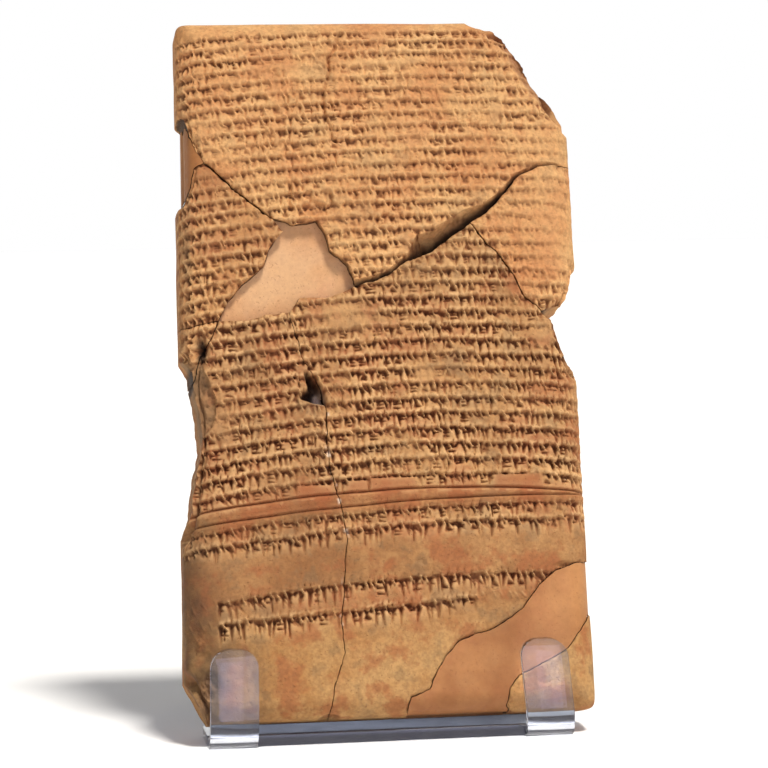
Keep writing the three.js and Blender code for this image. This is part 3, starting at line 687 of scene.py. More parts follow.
class Face:
    """One face of the tablet: places, outward directions, and flat coordinates that run on over the rim."""

    def __init__(self, columns, rows, front):
        p, q = np.meshgrid(np.linspace(-(CORE_X + WRAP), CORE_X + WRAP, columns),
                           np.linspace(-(CORE_Z + WRAP), CORE_Z + WRAP, rows))
        past_x = np.maximum(np.abs(p) - CORE_X, 0)
        past_z = np.maximum(np.abs(q) - CORE_Z, 0)
        run = np.maximum(past_x, past_z)
        turn = np.minimum(run / EDGE_RADIUS, math.pi / 2)
        safe = np.maximum(run, 1e-9)
        compass = np.where(past_x >= past_z, math.pi / 4 * past_z / safe,
                           math.pi / 2 - math.pi / 4 * past_x / safe)
        reach = squared(np.cos(compass), np.sin(compass))
        along_x, along_z = np.cos(compass) / reach * np.sign(p), np.sin(compass) / reach * np.sign(q)
        x = np.sign(p) * np.minimum(np.abs(p), CORE_X) + EDGE_RADIUS * np.sin(turn) * along_x
        z = np.sign(q) * np.minimum(np.abs(q), CORE_Z) + EDGE_RADIUS * np.sin(turn) * along_z + MIDDLE_Z
        depth = RIM_THICKNESS / 2 - EDGE_RADIUS * (1 - np.cos(turn)) - np.maximum(run - ARC, 0)
        middle, half = (right_edge(z) + left_edge(z)) / 2, (right_edge(z) - left_edge(z)) / 2
        x = middle + x * half / HALF_WIDTH
        depth = depth * (1 + (FRONT_SWELL if front else BACK_SWELL) * fullness(x, z) / (RIM_THICKNESS / 2))
        outward = -1 if front else 1
        self.place = np.stack([x, outward * depth, z], axis=-1)
        self.normal = np.stack([np.sin(turn) * along_x, outward * np.cos(turn), np.sin(turn) * along_z], -1)
        self.flat_x, self.flat_z = middle + p * half / HALF_WIDTH, q + MIDDLE_Z
        self.rim = run / WRAP
        self.relief = np.zeros(x.shape)

    def pressed(self):
        return self.place - self.normal * np.maximum(self.relief, 0.03)[..., None]


def flat_coordinates(places):
    """The flat coordinates of any places on or just under the skin."""
    x, y, z = places.T
    middle, half = (right_edge(z) + left_edge(z)) / 2, (right_edge(z) - left_edge(z)) / 2
    u, w = (x - middle) * HALF_WIDTH / half, z - MIDDLE_Z
    past_x, past_z = np.maximum(np.abs(u) - CORE_X, 0), np.maximum(np.abs(w) - CORE_Z, 0)
    run = EDGE_RADIUS * np.arctan2(squared(past_x, past_z),
                                   np.maximum(np.abs(y) - RIM_THICKNESS / 2 + EDGE_RADIUS, 0.01))
    compass = np.arctan2(past_z, np.maximum(past_x, 1e-9))
    flat = compass < math.pi / 4
    run_x = np.where(flat, run, run * (math.pi / 2 - compass) * 4 / math.pi)
    run_z = np.where(flat, run * compass * 4 / math.pi, run)
    p = np.where(past_x > 0, np.sign(u) * (CORE_X + run_x), u)
    q = np.where(past_z > 0, np.sign(w) * (CORE_Z + run_z), w)
    return middle + p * half / HALF_WIDTH, q + MIDDLE_Z


def two_faces(step):
    """A front and a back face whose rims meet: the back has half as many steps each way."""
    columns, rows = (int(2 * reach / step) // 2 * 2 + 1
                     for reach in ((CORE_X + WRAP) * STRETCH_X, CORE_Z + WRAP))
    return Face(columns, rows, True), Face(columns // 2 + 1, rows // 2 + 1, False)


def skin_mesh(name, front, back):
    """Both faces as one closed mesh, stitched round the middle of the edge."""
    shapes = front.relief.shape, back.relief.shape
    grids = [np.arange(shapes[0][0] * shapes[0][1]).reshape(shapes[0])]
    grids.append(np.arange(shapes[1][0] * shapes[1][1]).reshape(shapes[1]) + grids[0].size)
    quads = []
    for grid, order in zip(grids, (1, -1)):
        corners = [grid[:-1, :-1], grid[:-1, 1:], grid[1:, 1:], grid[1:, :-1]][::order]
        quads.append(np.stack([corner.ravel() for corner in corners], axis=1))
    fine, coarse = (np.concatenate([g[0, :-1], g[:-1, -1], g[-1, :0:-1], g[:0:-1, 0]]) for g in grids)
    between, after = np.roll(fine, -1)[::2], np.roll(fine, -2)[::2]
    fine, coarse_next = fine[::2], np.roll(coarse, -1)
    seam = np.concatenate([np.stack(corners, axis=1) for corners in (
        (fine, coarse, between), (between, coarse, coarse_next), (between, coarse_next, after))])
    places = np.concatenate([front.pressed().reshape(-1, 3), back.pressed().reshape(-1, 3)])
    return mesh_from(name, places, np.concatenate(quads), seam)


def mesh_from(name, places, quads, triangles=None):
    """A mesh from arrays of places and corners."""
    blocks = [np.asarray(block) for block in (quads, triangles) if block is not None and len(block)]
    corners = np.concatenate([block.ravel() for block in blocks])
    sizes = np.concatenate([np.full(len(block), block.shape[1]) for block in blocks])
    mesh = bpy.data.meshes.new(name)
    mesh.vertices.add(len(places))
    mesh.vertices.foreach_set("co", np.asarray(places, dtype=np.float32).ravel())
    mesh.loops.add(len(corners))
    mesh.loops.foreach_set("vertex_index", corners.astype(np.int32))
    mesh.polygons.add(len(sizes))
    mesh.polygons.foreach_set("loop_start", (np.cumsum(sizes) - sizes).astype(np.int32))
    mesh.update(calc_edges=True)
    return mesh


def places_of(mesh):
    flat = np.empty(len(mesh.vertices) * 3, dtype=np.float32)
    mesh.vertices.foreach_get("co", flat)
    return flat.reshape(-1, 3).astype(float)


def object_from(name, mesh):
    thing = bpy.data.objects.new(name, mesh)
    bpy.context.scene.collection.objects.link(thing)
    return thing


# ------------------------------------------------------------------------------------------------
# Breaking the tablet: blocks with crumbled sides cut the skin into its pieces
# ------------------------------------------------------------------------------------------------

BLOCK_DEPTHS = np.concatenate([np.arange(-18, -6, 0.75), np.arange(-6, 19, 2.5)])


def crumbled_block(name, outline_at):
    """A block through the tablet. outline_at(y) gives its [x, z] outline there, always as many points."""
    layers = []
    for y in BLOCK_DEPTHS:
        outline = outline_at(y)
        place = np.stack([outline[:, 0], np.full(len(outline), y), outline[:, 1]], axis=1)
        place[:, [0, 2]] += crumble(place)
        layers.append(place)
    count = len(layers[0])
    ring = np.arange(count)
    ahead = np.roll(ring, -1)
    area = np.sum(layers[0][:, 0] * np.roll(layers[0][:, 2], -1) - np.roll(layers[0][:, 0], -1) * layers[0][:, 2])
    quads = [np.stack([ring + k * count, ahead + k * count, ahead + (k + 1) * count, ring + (k + 1) * count], 1)
             for k in range(len(layers) - 1)]
    quads = np.concatenate(quads)
    caps = [ring[::-1], ring + (len(layers) - 1) * count]
    if area < 0:
        quads, caps = quads[:, ::-1], [cap[::-1] for cap in caps]
    places = np.concatenate(layers)
    mesh = bpy.data.meshes.new(name)
    mesh.from_pydata(places.tolist(), [], quads[:, ::-1].tolist() + [cap[::-1].tolist() for cap in caps])
    mesh.polygons.foreach_set("material_index", [BROKEN] * len(mesh.polygons))
    return object_from(name, mesh)


def thin_wall(name, points, gap):
    """A thin crumbled wall that parts two pieces."""
    line = dense(points, 0.7)
    along = np.gradient(line, axis=0)
    along /= np.linalg.norm(along, axis=1)[:, None]
    line[0] -= along[0] * 0.12
    line[-1] += along[-1] * 0.12
    aside = np.stack([-along[:, 1], along[:, 0]], axis=1) * gap / 2
    outline = np.concatenate([line - aside, (line + aside)[::-1]])
    return crumbled_block(name, lambda y: outline)


def flaked_edge():
    """The wedge missing from the upper fragment's lower edge."""
    line = dense(list(JOINS["upper_to_lower_right"]) + list(JOINS["upper_to_right"][1:-1]) + [(60, 156.8)], 0.7)
    along = np.gradient(line, axis=0)
    along /= np.linalg.norm(along, axis=1)[:, None]
    aside = np.stack([-along[:, 1], along[:, 0]], axis=1)
    opening = np.interp(line[:, 0], *np.array(BREAK_OPENING).T)

    def outline_at(y):
        surface = RIM_THICKNESS / 2 + FRONT_SWELL * fullness(line[:, 0], line[:, 1])
        down = np.clip((y + surface) / (1 + opening * BREAK_DEPTH_PER_OPENING), -0.5, 1)
        reach = np.maximum(opening * (1 - down) ** 0.5, 0.06)
        return np.concatenate([line - aside * 0.3, (line + aside * reach[:, None])[::-1]])
    return crumbled_block("flaked_edge", outline_at)


def cut(thing, operation, other):
    """Cuts an object's mesh with another object or with a whole collection of them."""
    modifier = thing.modifiers.new("cut", "BOOLEAN")
    modifier.operation, modifier.solver = operation, "MANIFOLD"
    if isinstance(other, bpy.types.Collection):
        modifier.operand_type, modifier.collection = "COLLECTION", other
    else:
        modifier.object = other
    settle(thing)


def settle(thing):
    """Replaces an object's mesh with what its modifiers make of it."""
    seen = thing.evaluated_get(bpy.context.evaluated_depsgraph_get())
    mesh = bpy.data.meshes.new_from_object(seen)
    old = thing.data
    thing.modifiers.clear()
    thing.data = mesh
    bpy.data.meshes.remove(old)


def triangle_count(mesh):
    sizes = np.empty(len(mesh.polygons), dtype=np.int32)
    mesh.polygons.foreach_get("loop_total", sizes)
    return int((sizes - 2).sum())


def thin_out(thing, most):
    """Brings a mesh down to a number of triangles, keeping its sharpest detail."""
    count = triangle_count(thing.data)
    if count > most:
        modifier = thing.modifiers.new("thin", "DECIMATE")
        modifier.ratio = most / count
        settle(thing)


# ------------------------------------------------------------------------------------------------
# Finishes
# ------------------------------------------------------------------------------------------------

def linear(red, green, blue):
    """A colour given in 0-255 display values, as the linear values that shaders take."""
    values = [c / 255 for c in (red, green, blue)]
    return tuple(c / 12.92 if c <= 0.04045 else ((c + 0.055) / 1.055) ** 2.4 for c in values) + (1.0,)


class Nodes:
    """Short ways to place and join shader nodes in one tree."""

    def __init__(self, tree):
        self.tree = tree

    def add(self, kind, **settings):
        node = self.tree.nodes.new(kind)
        for key, value in settings.items():
            setattr(node, key, value)
        return node

    def feed(self, socket, value):
        if isinstance(value, bpy.types.NodeSocket):
            self.tree.links.new(value, socket)
        elif value is not None:
            socket.default_value = value

    def noise(self, place, scale, detail=3.0, roughness=0.55):
        node = self.add("ShaderNodeTexNoise")
        self.feed(node.inputs["Vector"], place)
        self.feed(node.inputs["Scale"], scale)
        self.feed(node.inputs["Detail"], detail)
        self.feed(node.inputs["Roughness"], roughness)
        return node.outputs["Fac"]

    def ramp(self, value, low, high, out_low=0.0, out_high=1.0):
        node = self.add("ShaderNodeMapRange", interpolation_type="SMOOTHSTEP")
        for label, each in zip(("Value", "From Min", "From Max", "To Min", "To Max"),
                               (value, low, high, out_low, out_high)):
            self.feed(node.inputs[label], each)
        return node.outputs["Result"]

    def sum(self, operation, one, other):
        node = self.add("ShaderNodeMath", operation=operation)
        self.feed(node.inputs[0], one)
        self.feed(node.inputs[1], other)
        return node.outputs[0]

    def mix(self, amount, one, other, blend="MIX"):
        node = self.add("ShaderNodeMix", data_type="RGBA", blend_type=blend)
        for index, value in ((0, amount), (6, one), (7, other)):
            self.feed(node.inputs[index], value)
        return node.outputs[2]

    def attribute(self, name):
        return self.add("ShaderNodeAttribute", attribute_name=name).outputs["Fac"]


def new_group(name, inputs, outputs):
    """A shader node group with named inputs and outputs."""
    tree = bpy.data.node_groups.new(name, "ShaderNodeTree")
    for label, kind, value in inputs:
        socket = tree.interface.new_socket(label, in_out="INPUT", socket_type=kind)
        if value is not None:
            socket.default_value = value
    for label, kind in outputs:
        tree.interface.new_socket(label, in_out="OUTPUT", socket_type=kind)
    return Nodes(tree), tree.nodes.new("NodeGroupInput").outputs, tree.nodes.new("NodeGroupOutput").inputs


COLOUR, VALUE, PLACE = "NodeSocketColor", "NodeSocketFloat", "NodeSocketVector"


def fired_mottle_group():
    """The uneven firing of a clay face: patches of ochre, red and grey over its own colour."""
    n, put, out = new_group("fired_mottle", [
        ("Place", PLACE, None), ("Clay", COLOUR, None), ("Deep", COLOUR, None), ("Red", COLOUR, None),
        ("Grey", COLOUR, None), ("Patch Size", VALUE, 45.0), ("Redness", VALUE, 0.5), ("Greyness", VALUE, 0.4),
        ("Graininess", VALUE, 0.34),
    ], [("Color", COLOUR), ("Patches", VALUE)])
    place = put["Place"]
    broad = n.noise(place, put["Patch Size"], 4.0, 0.6)
    shifted = n.add("ShaderNodeVectorMath", operation="ADD")
    n.feed(shifted.inputs[0], place)
    shifted.inputs[1].default_value = (3.1, 1.7, 5.3)
    other = n.noise(shifted.outputs[0], n.sum("MULTIPLY", put["Patch Size"], 1.6), 4.0, 0.62)
    fine = n.noise(place, 900.0, 3.0, 0.6)
    colour = n.mix(n.ramp(broad, 0.36, 0.66), put["Clay"], put["Deep"])
    red = n.sum("MULTIPLY", n.ramp(other, 0.49, 0.63), put["Redness"])
    colour = n.mix(red, colour, put["Red"])
    grey = n.sum("MULTIPLY", n.ramp(other, 0.46, 0.36), put["Greyness"])
    colour = n.mix(grey, colour, put["Grey"])
    grain = n.sum("MULTIPLY", n.ramp(fine, 0.32, 0.68, 1.0, 0.0), put["Graininess"])
    colour = n.mix(grain, colour, (0.14, 0.06, 0.025, 1.0))
    n.feed(out["Color"], colour)
    n.feed(out["Patches"], broad)
    return n.tree


def grit_group():
    """Grit, dust and pores: a height for the bump, a speckle and a roughness."""
    n, put, out = new_group("grit", [
        ("Place", PLACE, None), ("Coarseness", VALUE, 1.0), ("Base Roughness", VALUE, 0.85),
    ], [("Height", VALUE), ("Speckle", VALUE), ("Roughness", VALUE)])
    place = n.add("ShaderNodeVectorMath", operation="SCALE")
    n.feed(place.inputs[0], put["Place"])
    n.feed(place.inputs["Scale"], put["Coarseness"])
    place = place.outputs[0]
    grains = n.noise(place, 2600.0, 3.0, 0.65)
    lumps = n.noise(place, 700.0, 3.0, 0.5)
    specks = n.ramp(n.noise(place, 1500.0, 2.0, 0.5), 0.62, 0.72)
    height = n.sum("ADD", n.sum("MULTIPLY", grains, 0.35), lumps)
    n.feed(out["Height"], n.sum("SUBTRACT", height, n.sum("MULTIPLY", specks, 0.5)))
    n.feed(out["Speckle"], specks)
    n.feed(out["Roughness"], n.sum("ADD", put["Base Roughness"], n.ramp(lumps, 0.3, 0.7, -0.06, 0.06)))
    return n.tree


def ages_group():
    """What age and painted light leave on clay: painted shade in the strokes, pale dust on worn places with a
    painted highlight on the lips, darkening that is part grime and part painted shade, plaster smears, and
    near-black painted shade deep in cracks.
    """
    n, put, out = new_group("ages", [
        ("Color", COLOUR, None), ("Recess", VALUE, 0.0), ("Wear", VALUE, 0.0), ("Pale", VALUE, 0.0),
        ("Grime", VALUE, 0.0), ("Smooth Red", VALUE, 0.0), ("Hidden", VALUE, 0.0), ("Hidden Amount", VALUE, 0.6),
        ("Soil", COLOUR, None), ("Dust", COLOUR, None),
        ("Plaster", COLOUR, None), ("Grimy", COLOUR, None), ("Rubbed", COLOUR, None),
        ("Soil Amount", VALUE, 0.6), ("Dust Amount", VALUE, 0.4),
    ], [("Color", COLOUR)])
    colour = n.mix(n.sum("MULTIPLY", put["Smooth Red"], 0.6), put["Color"], put["Rubbed"])
    # Painted shade: the recesses are coloured towards a dark red-brown, more the deeper they go.
    colour = n.mix(n.sum("MULTIPLY", n.ramp(put["Recess"], 0.1, 0.9), put["Soil Amount"]), colour,
                   put["Soil"])
    # Darker brown, part grime and part painted shade.
    colour = n.mix(n.sum("MULTIPLY", put["Grime"], 0.85), colour, put["Grimy"])
    # Pale dust on worn writing, and a painted highlight on the lips of the rows.
    colour = n.mix(n.sum("MULTIPLY", put["Wear"], put["Dust Amount"]), colour, put["Dust"])
    colour = n.mix(put["Pale"], colour, put["Plaster"])
    # Painted shade: near-black deep in cracks, holes and the pit.
    n.feed(out["Color"], n.mix(n.sum("MULTIPLY", put["Hidden"], put["Hidden Amount"]), colour,
                               linear(34, 20, 12)))
    return n.tree


groups = {}


def use_group(n, name, **values):
    node = n.add("ShaderNodeGroup", node_tree=groups[name])
    for label, value in values.items():
        n.feed(node.inputs[label.replace("_", " ")], value)
    return node.outputs


def new_material(name):
    material = bpy.data.materials.new(name)
    material.use_nodes = True
    n = Nodes(material.node_tree)
    shader = next(node for node in material.node_tree.nodes if node.type == "BSDF_PRINCIPLED")
    place = n.add("ShaderNodeTexCoord").outputs["Object"]
    return material, n, shader, place


def bump(n, shader, height, strength, distance):
    node = n.add("ShaderNodeBump")
    node.inputs["Strength"].default_value = strength
    node.inputs["Distance"].default_value = distance
    n.feed(node.inputs["Height"], height)
    n.feed(shader.inputs["Normal"], node.outputs["Normal"])


def clay_material(name, clay, deep, red, grey, redness=0.5, greyness=0.4, soil=0.7, dust=0.4, coarseness=1.0,
                  bump_strength=1.0, roughness=0.85, patch_size=45.0, hidden=0.9,
                  graininess=0.34, foot=None):
    material, n, shader, place = new_material(name)
    if foot:        # the buff colour that the clay turns to near its lower edge
        split = n.add("ShaderNodeSeparateXYZ")
        n.feed(split.inputs[0], place)
        clay, deep = (n.mix(n.ramp(split.outputs["Z"], 0.026, 0.040), colour, above)
                      for colour, above in zip(foot, (clay, deep)))
    mottle = use_group(n, "fired_mottle", Place=place, Clay=clay, Deep=deep, Red=red, Grey=grey,
                       Patch_Size=patch_size, Redness=redness, Greyness=greyness, Graininess=graininess)
    # Adds painted shade in recesses and deep cracks, a painted highlight on the lips, and darkening that is part
    # grime and part painted shade.
    aged = use_group(n, "ages", Color=mottle["Color"], Recess=n.attribute("recess"),
                     Wear=n.attribute("wear"), Pale=n.attribute("pale"), Grime=n.attribute("grime"),
                     Smooth_Red=n.attribute("smooth_red"), Hidden=n.attribute("hidden"),
                     # The dark red-brown below is painted shade for the recesses.
                     Hidden_Amount=hidden, Soil=linear(104, 52, 26),
                     Grimy=linear(84, 62, 42), Rubbed=linear(152, 84, 48),
                     Dust=linear(236, 190, 132), Plaster=linear(226, 205, 180), Soil_Amount=soil,
                     Dust_Amount=dust)
    grit = use_group(n, "grit", Place=place, Coarseness=coarseness, Base_Roughness=roughness)
    colour = n.mix(n.sum("MULTIPLY", grit["Speckle"], 0.35), aged["Color"], linear(120, 74, 44))
    n.feed(shader.inputs["Base Color"], colour)
    n.feed(shader.inputs["Roughness"], grit["Roughness"])
    shader.inputs["Specular IOR Level"].default_value = 0.25
    bump(n, shader, grit["Height"], bump_strength, 0.0002)
    return material


def acrylic_material():
    material, n, shader, place = new_material("clear_acrylic")
    shader.inputs["Transmission Weight"].default_value = 1.0
    shader.inputs["IOR"].default_value = 1.49
    smears = n.noise(place, 120.0, 3.0, 0.6)
    n.feed(shader.inputs["Base Color"], n.mix(n.ramp(smears, 0.35, 0.7), linear(216, 222, 234),
                                              linear(200, 206, 222)))
    n.feed(shader.inputs["Roughness"], n.ramp(smears, 0.4, 0.75, 0.02, 0.09))
    return material


def floor_material():
    material, n, shader, place = new_material("pale_floor")
    n.feed(shader.inputs["Base Color"], n.mix(n.noise(place, 6.0, 2.0), linear(238, 237, 235),
                                              linear(243, 242, 240)))
    shader.inputs["Roughness"].default_value = 0.9
    return material


# ------------------------------------------------------------------------------------------------
# The cradle: one clear sheet bent across, drawn as [y, z] along the middle of the sheet
# ------------------------------------------------------------------------------------------------

SHEET_THICKNESS, BEND_RADIUS = 3.0, 6.0
TAB_WIDTH, TAB_HEIGHT, TAB_CORNER = 13.0, 27.0, 5.0
TABS = (-44.8, 0.03), (42.0, -0.06)         # where each stands, and how far it leans aside as it rises
PLATE_WIDTH, PLATE_HEIGHT, PLATE_MIDDLE = 84.0, 130.0, -1.4
TOP_DEPTH, LEG_SPREAD, FOOT_LENGTH = 14.0, 18.0, 17.0
LEDGE_FILLET = 2.0
EDGE_POLISH = 0.3


def bent_sheet_tree():
    """A flat sheet bent through corners: a rounded path swept with the sheet's section."""
    tree, start, end = new_tree("bent_sheet", [
        ("Width", "NodeSocketFloat", 10.0), ("Thickness", "NodeSocketFloat", 3.0),
        ("Bend Radius", "NodeSocketFloat", 6.0), ("Bend Steps", "NodeSocketInt", 12),
        ("Sheet", "NodeSocketMaterial", None),
    ])
    link, new = tree.links.new, tree.nodes.new
    path, round_off = new("GeometryNodeMeshToCurve"), new("GeometryNodeFilletCurve")
    section, swept = new("GeometryNodeCurvePrimitiveQuadrilateral"), new("GeometryNodeCurveToMesh")
    plain, skinned = new("GeometryNodeRealizeInstances"), new("GeometryNodeSetMaterial")
    link(start.outputs["Geometry"], path.inputs["Mesh"])
    link(path.outputs["Curve"], round_off.inputs["Curve"])
    if "Mode" in round_off.inputs:
        round_off.inputs["Mode"].default_value = "Poly"
    else:
        round_off.mode = "POLY"
    link(start.outputs["Bend Radius"], round_off.inputs["Radius"])
    link(start.outputs["Bend Steps"], round_off.inputs["Count"])
    link(start.outputs["Width"], section.inputs["Width"])
    link(start.outputs["Thickness"], section.inputs["Height"])
    link(round_off.outputs["Curve"], swept.inputs["Curve"])
    link(section.outputs["Curve"], swept.inputs["Profile Curve"])
    swept.inputs["Fill Caps"].default_value = True
    link(swept.outputs["Mesh"], plain.inputs["Geometry"])
    link(plain.outputs["Geometry"], skinned.inputs["Geometry"])
    link(start.outputs["Sheet"], skinned.inputs["Material"])
    link(skinned.outputs["Geometry"], end.inputs["Geometry"])
    return tree


def leaning_y(in_front, height):
    """Where a plane of the leaning tablet, so far in front of its middle, stands at a height."""
    return ((height - RISE) * math.sin(LEAN_BACK) - in_front) / math.cos(LEAN_BACK)


def bent_strip(name, corners, width, middle, tree, material, lean=0.0):
    mesh = bpy.data.meshes.new(name)
    mesh.from_pydata([(0, y, z) for y, z in corners], [(i, i + 1) for i in range(len(corners) - 1)], [])
    thing = object_from(name, mesh)
    bent = grown(thing, tree, {"Width": width, "Thickness": SHEET_THICKNESS, "Bend Radius": BEND_RADIUS,
                               "Bend Steps": 12, "Sheet": material})
    thing.data = bent
    places = places_of(bent)
    places[:, 0] += middle + lean * places[:, 2]
    bent.vertices.foreach_set("co", places.astype(np.float32).ravel())
    bent.update()
    outward_faces(bent)
    return thing


def outward_faces(mesh):
    """Turns a closed mesh the right way out."""
    import bmesh
    shell = bmesh.new()
    shell.from_mesh(mesh)
    bmesh.ops.remove_doubles(shell, verts=shell.verts, dist=1e-5)
    bmesh.ops.recalc_face_normals(shell, faces=shell.faces)
    if shell.calc_volume(signed=True) < 0:
        bmesh.ops.reverse_faces(shell, faces=shell.faces)
    shell.to_mesh(mesh)
    shell.free()


def flat_block(name, outline, low, high, upright, lean=0.0):
    """A block with this outline: upright outlines are [x, z] and run in y, flat ones are [x, y]."""
    count = len(outline)
    places = [(x + lean * b, end, b) if upright else (x, b, end) for end in (low, high) for x, b in outline]
    ring = list(range(count))
    faces = [ring[::-1], [count + i for i in ring]]
    faces += [(i, (i + 1) % count, count + (i + 1) % count, count + i) for i in ring]
    mesh = bpy.data.meshes.new(name)
    mesh.from_pydata(places, [], faces)
    outward_faces(mesh)
    return object_from(name, mesh)


def arc_points(x, y, radius, start, end, steps=8):
    return [(x + radius * math.cos(start + (end - start) * k / steps),
             y + radius * math.sin(start + (end - start) * k / steps)) for k in range(steps + 1)]


def cradle(tree, material):
    middle = SHEET_THICKNESS / 2
    in_front = RIM_THICKNESS / 2 + 0.8 + middle
    behind = RIM_THICKNESS / 2 + BACK_SWELL + 0.4 + middle
    tab_top = (leaning_y(in_front, TAB_HEIGHT + 3), TAB_HEIGHT + 3)
    tab_root = (leaning_y(in_front, middle), middle)
    plate_root = (leaning_y(-behind, middle), middle)
    plate_top = (leaning_y(-behind, PLATE_HEIGHT), PLATE_HEIGHT)
    leg_top = (plate_top[0] + TOP_DEPTH, PLATE_HEIGHT)
    leg_foot = (leg_top[0] + LEG_SPREAD, middle)
    bend_start = tab_root[0] + BEND_RADIUS * math.tan((math.pi / 2 + LEAN_BACK) / 2)
    easel = bent_strip("acrylic_cradle_sheet",
                       [(bend_start + 1, middle), plate_root, plate_top, leg_top, leg_foot,
                        (leg_foot[0] + FOOT_LENGTH, middle)], PLATE_WIDTH, PLATE_MIDDLE, tree, material)
    parts = bpy.data.collections.new("cradle_parts")
    bpy.context.scene.collection.children.link(parts)
    for centre, lean in TABS:
        tab = bent_strip("cradle_tab", [tab_top, tab_root, (bend_start + 2, middle)], TAB_WIDTH, centre, tree,
                         material, lean)
        half, shoulder = TAB_WIDTH / 2, TAB_HEIGHT - TAB_CORNER
        blank = flat_block("tab_outline", [(centre - half - 0.01, -1), (centre + half + 0.01, -1)]
                           + arc_points(centre + half - TAB_CORNER, shoulder, TAB_CORNER, 0, math.pi / 2, 12)
                           + arc_points(centre - half + TAB_CORNER, shoulder, TAB_CORNER, math.pi / 2, math.pi,
                                        12), -30, 30, True, lean)
        cut(tab, "INTERSECT", blank)
        bpy.data.objects.remove(blank)
        parts.objects.link(tab)
    (left, inner_left), (inner_right, right) = ((c - TAB_WIDTH / 2, c + TAB_WIDTH / 2) for c, _ in TABS)
    front, rear = bend_start - 0.3, plate_root[0] - BEND_RADIUS
    ledge = flat_block("cradle_ledge",
                       [(left, rear), (left, front - LEDGE_FILLET), (inner_left, front - LEDGE_FILLET)]
                       + arc_points(inner_left + LEDGE_FILLET, front - LEDGE_FILLET, LEDGE_FILLET, math.pi,
                                    math.pi / 2)
                       + arc_points(inner_right - LEDGE_FILLET, front - LEDGE_FILLET, LEDGE_FILLET,
                                    math.pi / 2, 0)
                       + [(right, front - LEDGE_FILLET), (right, rear)], 0, SHEET_THICKNESS, False)
    parts.objects.link(ledge)
    cut(easel, "UNION", parts)
    for part in list(parts.objects):
        bpy.data.objects.remove(part)
    bpy.data.collections.remove(parts)
    return easel


# ------------------------------------------------------------------------------------------------
# Putting it together
# ------------------------------------------------------------------------------------------------

PIECE_LIMITS = {        # the most triangles each piece keeps
    "upper_fragment": 199000, "lower_right_fragment": 199000, "lower_left_fragment": 190000,
    "left_fragment": 60000, "right_fragment": 60000, "left_sliver": 12000, "corner_fragment": 30000,
    "left_fill": 9000, "centre_fill": 22000, "corner_fill": 32000,
}


def stand_on_cradle(mesh):
    """Leans the tablet's own frame back, sets it on the cradle and turns millimetres into metres."""
    x, y, z = places_of(mesh).T
    sine, cosine = math.sin(LEAN_BACK), math.cos(LEAN_BACK)
    places = np.stack([x, y * cosine + z * sine, z * cosine - y * sine + RISE], axis=1) / 1000
    mesh.vertices.foreach_set("co", places.astype(np.float32).ravel())
    mesh.update()


def mark(mesh, crack, **maps):
    """Stores how recessed, worn, pale, darkened or deep in painted shade the clay is at each point, from the flat
    maps; the wear takes in the lips, for a painted highlight.
    """
    places = places_of(mesh)
    x, z = flat_coordinates(places)
    front = places[:, 1] < 0
    slots, sides = (np.empty(len(mesh.polygons), dtype=np.int32) for _ in range(2))
    mesh.polygons.foreach_get("material_index", slots)
    mesh.polygons.foreach_get("loop_total", sides)
    corners = np.empty(len(mesh.loops), dtype=np.int32)
    mesh.loops.foreach_get("vertex_index", corners)
    inside = np.ones(len(places), dtype=bool)
    inside[corners[np.repeat(slots, sides) == SKIN]] = False
    full = fullness(places[:, 0], places[:, 2])
    # Painted shade on the broken faces, darker the further they lie inside a crack.
    in_crack = read_sheet(crack, places[:, 0], places[:, 2])
    in_crack *= soft_step(0.5, 4.5, places[:, 1] + RIM_THICKNESS / 2 + FRONT_SWELL * full)
    in_crack *= soft_step(0.5, 4.5, RIM_THICKNESS / 2 + BACK_SWELL * full - places[:, 1])
    for name, sheet in maps.items():
        values = read_sheet(sheet, x, z) * front
        if name == "hidden":
            values = np.where(inside, in_crack, values)
        mesh.attributes.new(name, "FLOAT", "POINT").data.foreach_set("value", values.astype(np.float32))


def finish_piece(thing, name, materials, limit, maps):
    thin_out(thing, limit)
    mesh = thing.data
    mark(mesh, **maps)
    stand_on_cradle(mesh)
    mesh.name = thing.name = "mended_" + name
    mesh.materials.clear()
    for material in materials:
        mesh.materials.append(material)
    mesh.set_sharp_from_angle(angle=math.radians(60))
    mesh.polygons.foreach_set("use_smooth", [True] * len(mesh.polygons))
    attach(thing, "root")
    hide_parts(name)


groups.update(fired_mottle=fired_mottle_group(), grit=grit_group(), ages=ages_group())
RED, GREY = linear(156, 90, 52), linear(122, 98, 68)
clay_upper = clay_material("fired_clay_pale", linear(206, 158, 102), linear(190, 132, 80),
                           linear(184, 116, 70), linear(150, 122, 84), redness=0.4, greyness=0.3,
                           patch_size=65.0)
clay_left = clay_material("fired_clay_brown", linear(184, 134, 82), linear(162, 108, 64), RED, GREY,
                          redness=0.5, greyness=0.3, dust=0.45, patch_size=75.0)
clay_lower = clay_material("fired_clay_ochre", linear(178, 132, 82), linear(148, 102, 60), RED, GREY,
                           redness=0.65, greyness=0.45, dust=0.5, patch_size=65.0,
                           foot=(linear(188, 146, 92), linear(174, 126, 74)))
clay_lower_left = clay_material("fired_clay_umber", linear(166, 120, 74), linear(142, 96, 56), RED, GREY,
                                redness=0.65, greyness=0.45, dust=0.5, patch_size=65.0,
                                foot=(linear(184, 142, 88), linear(170, 122, 70)))
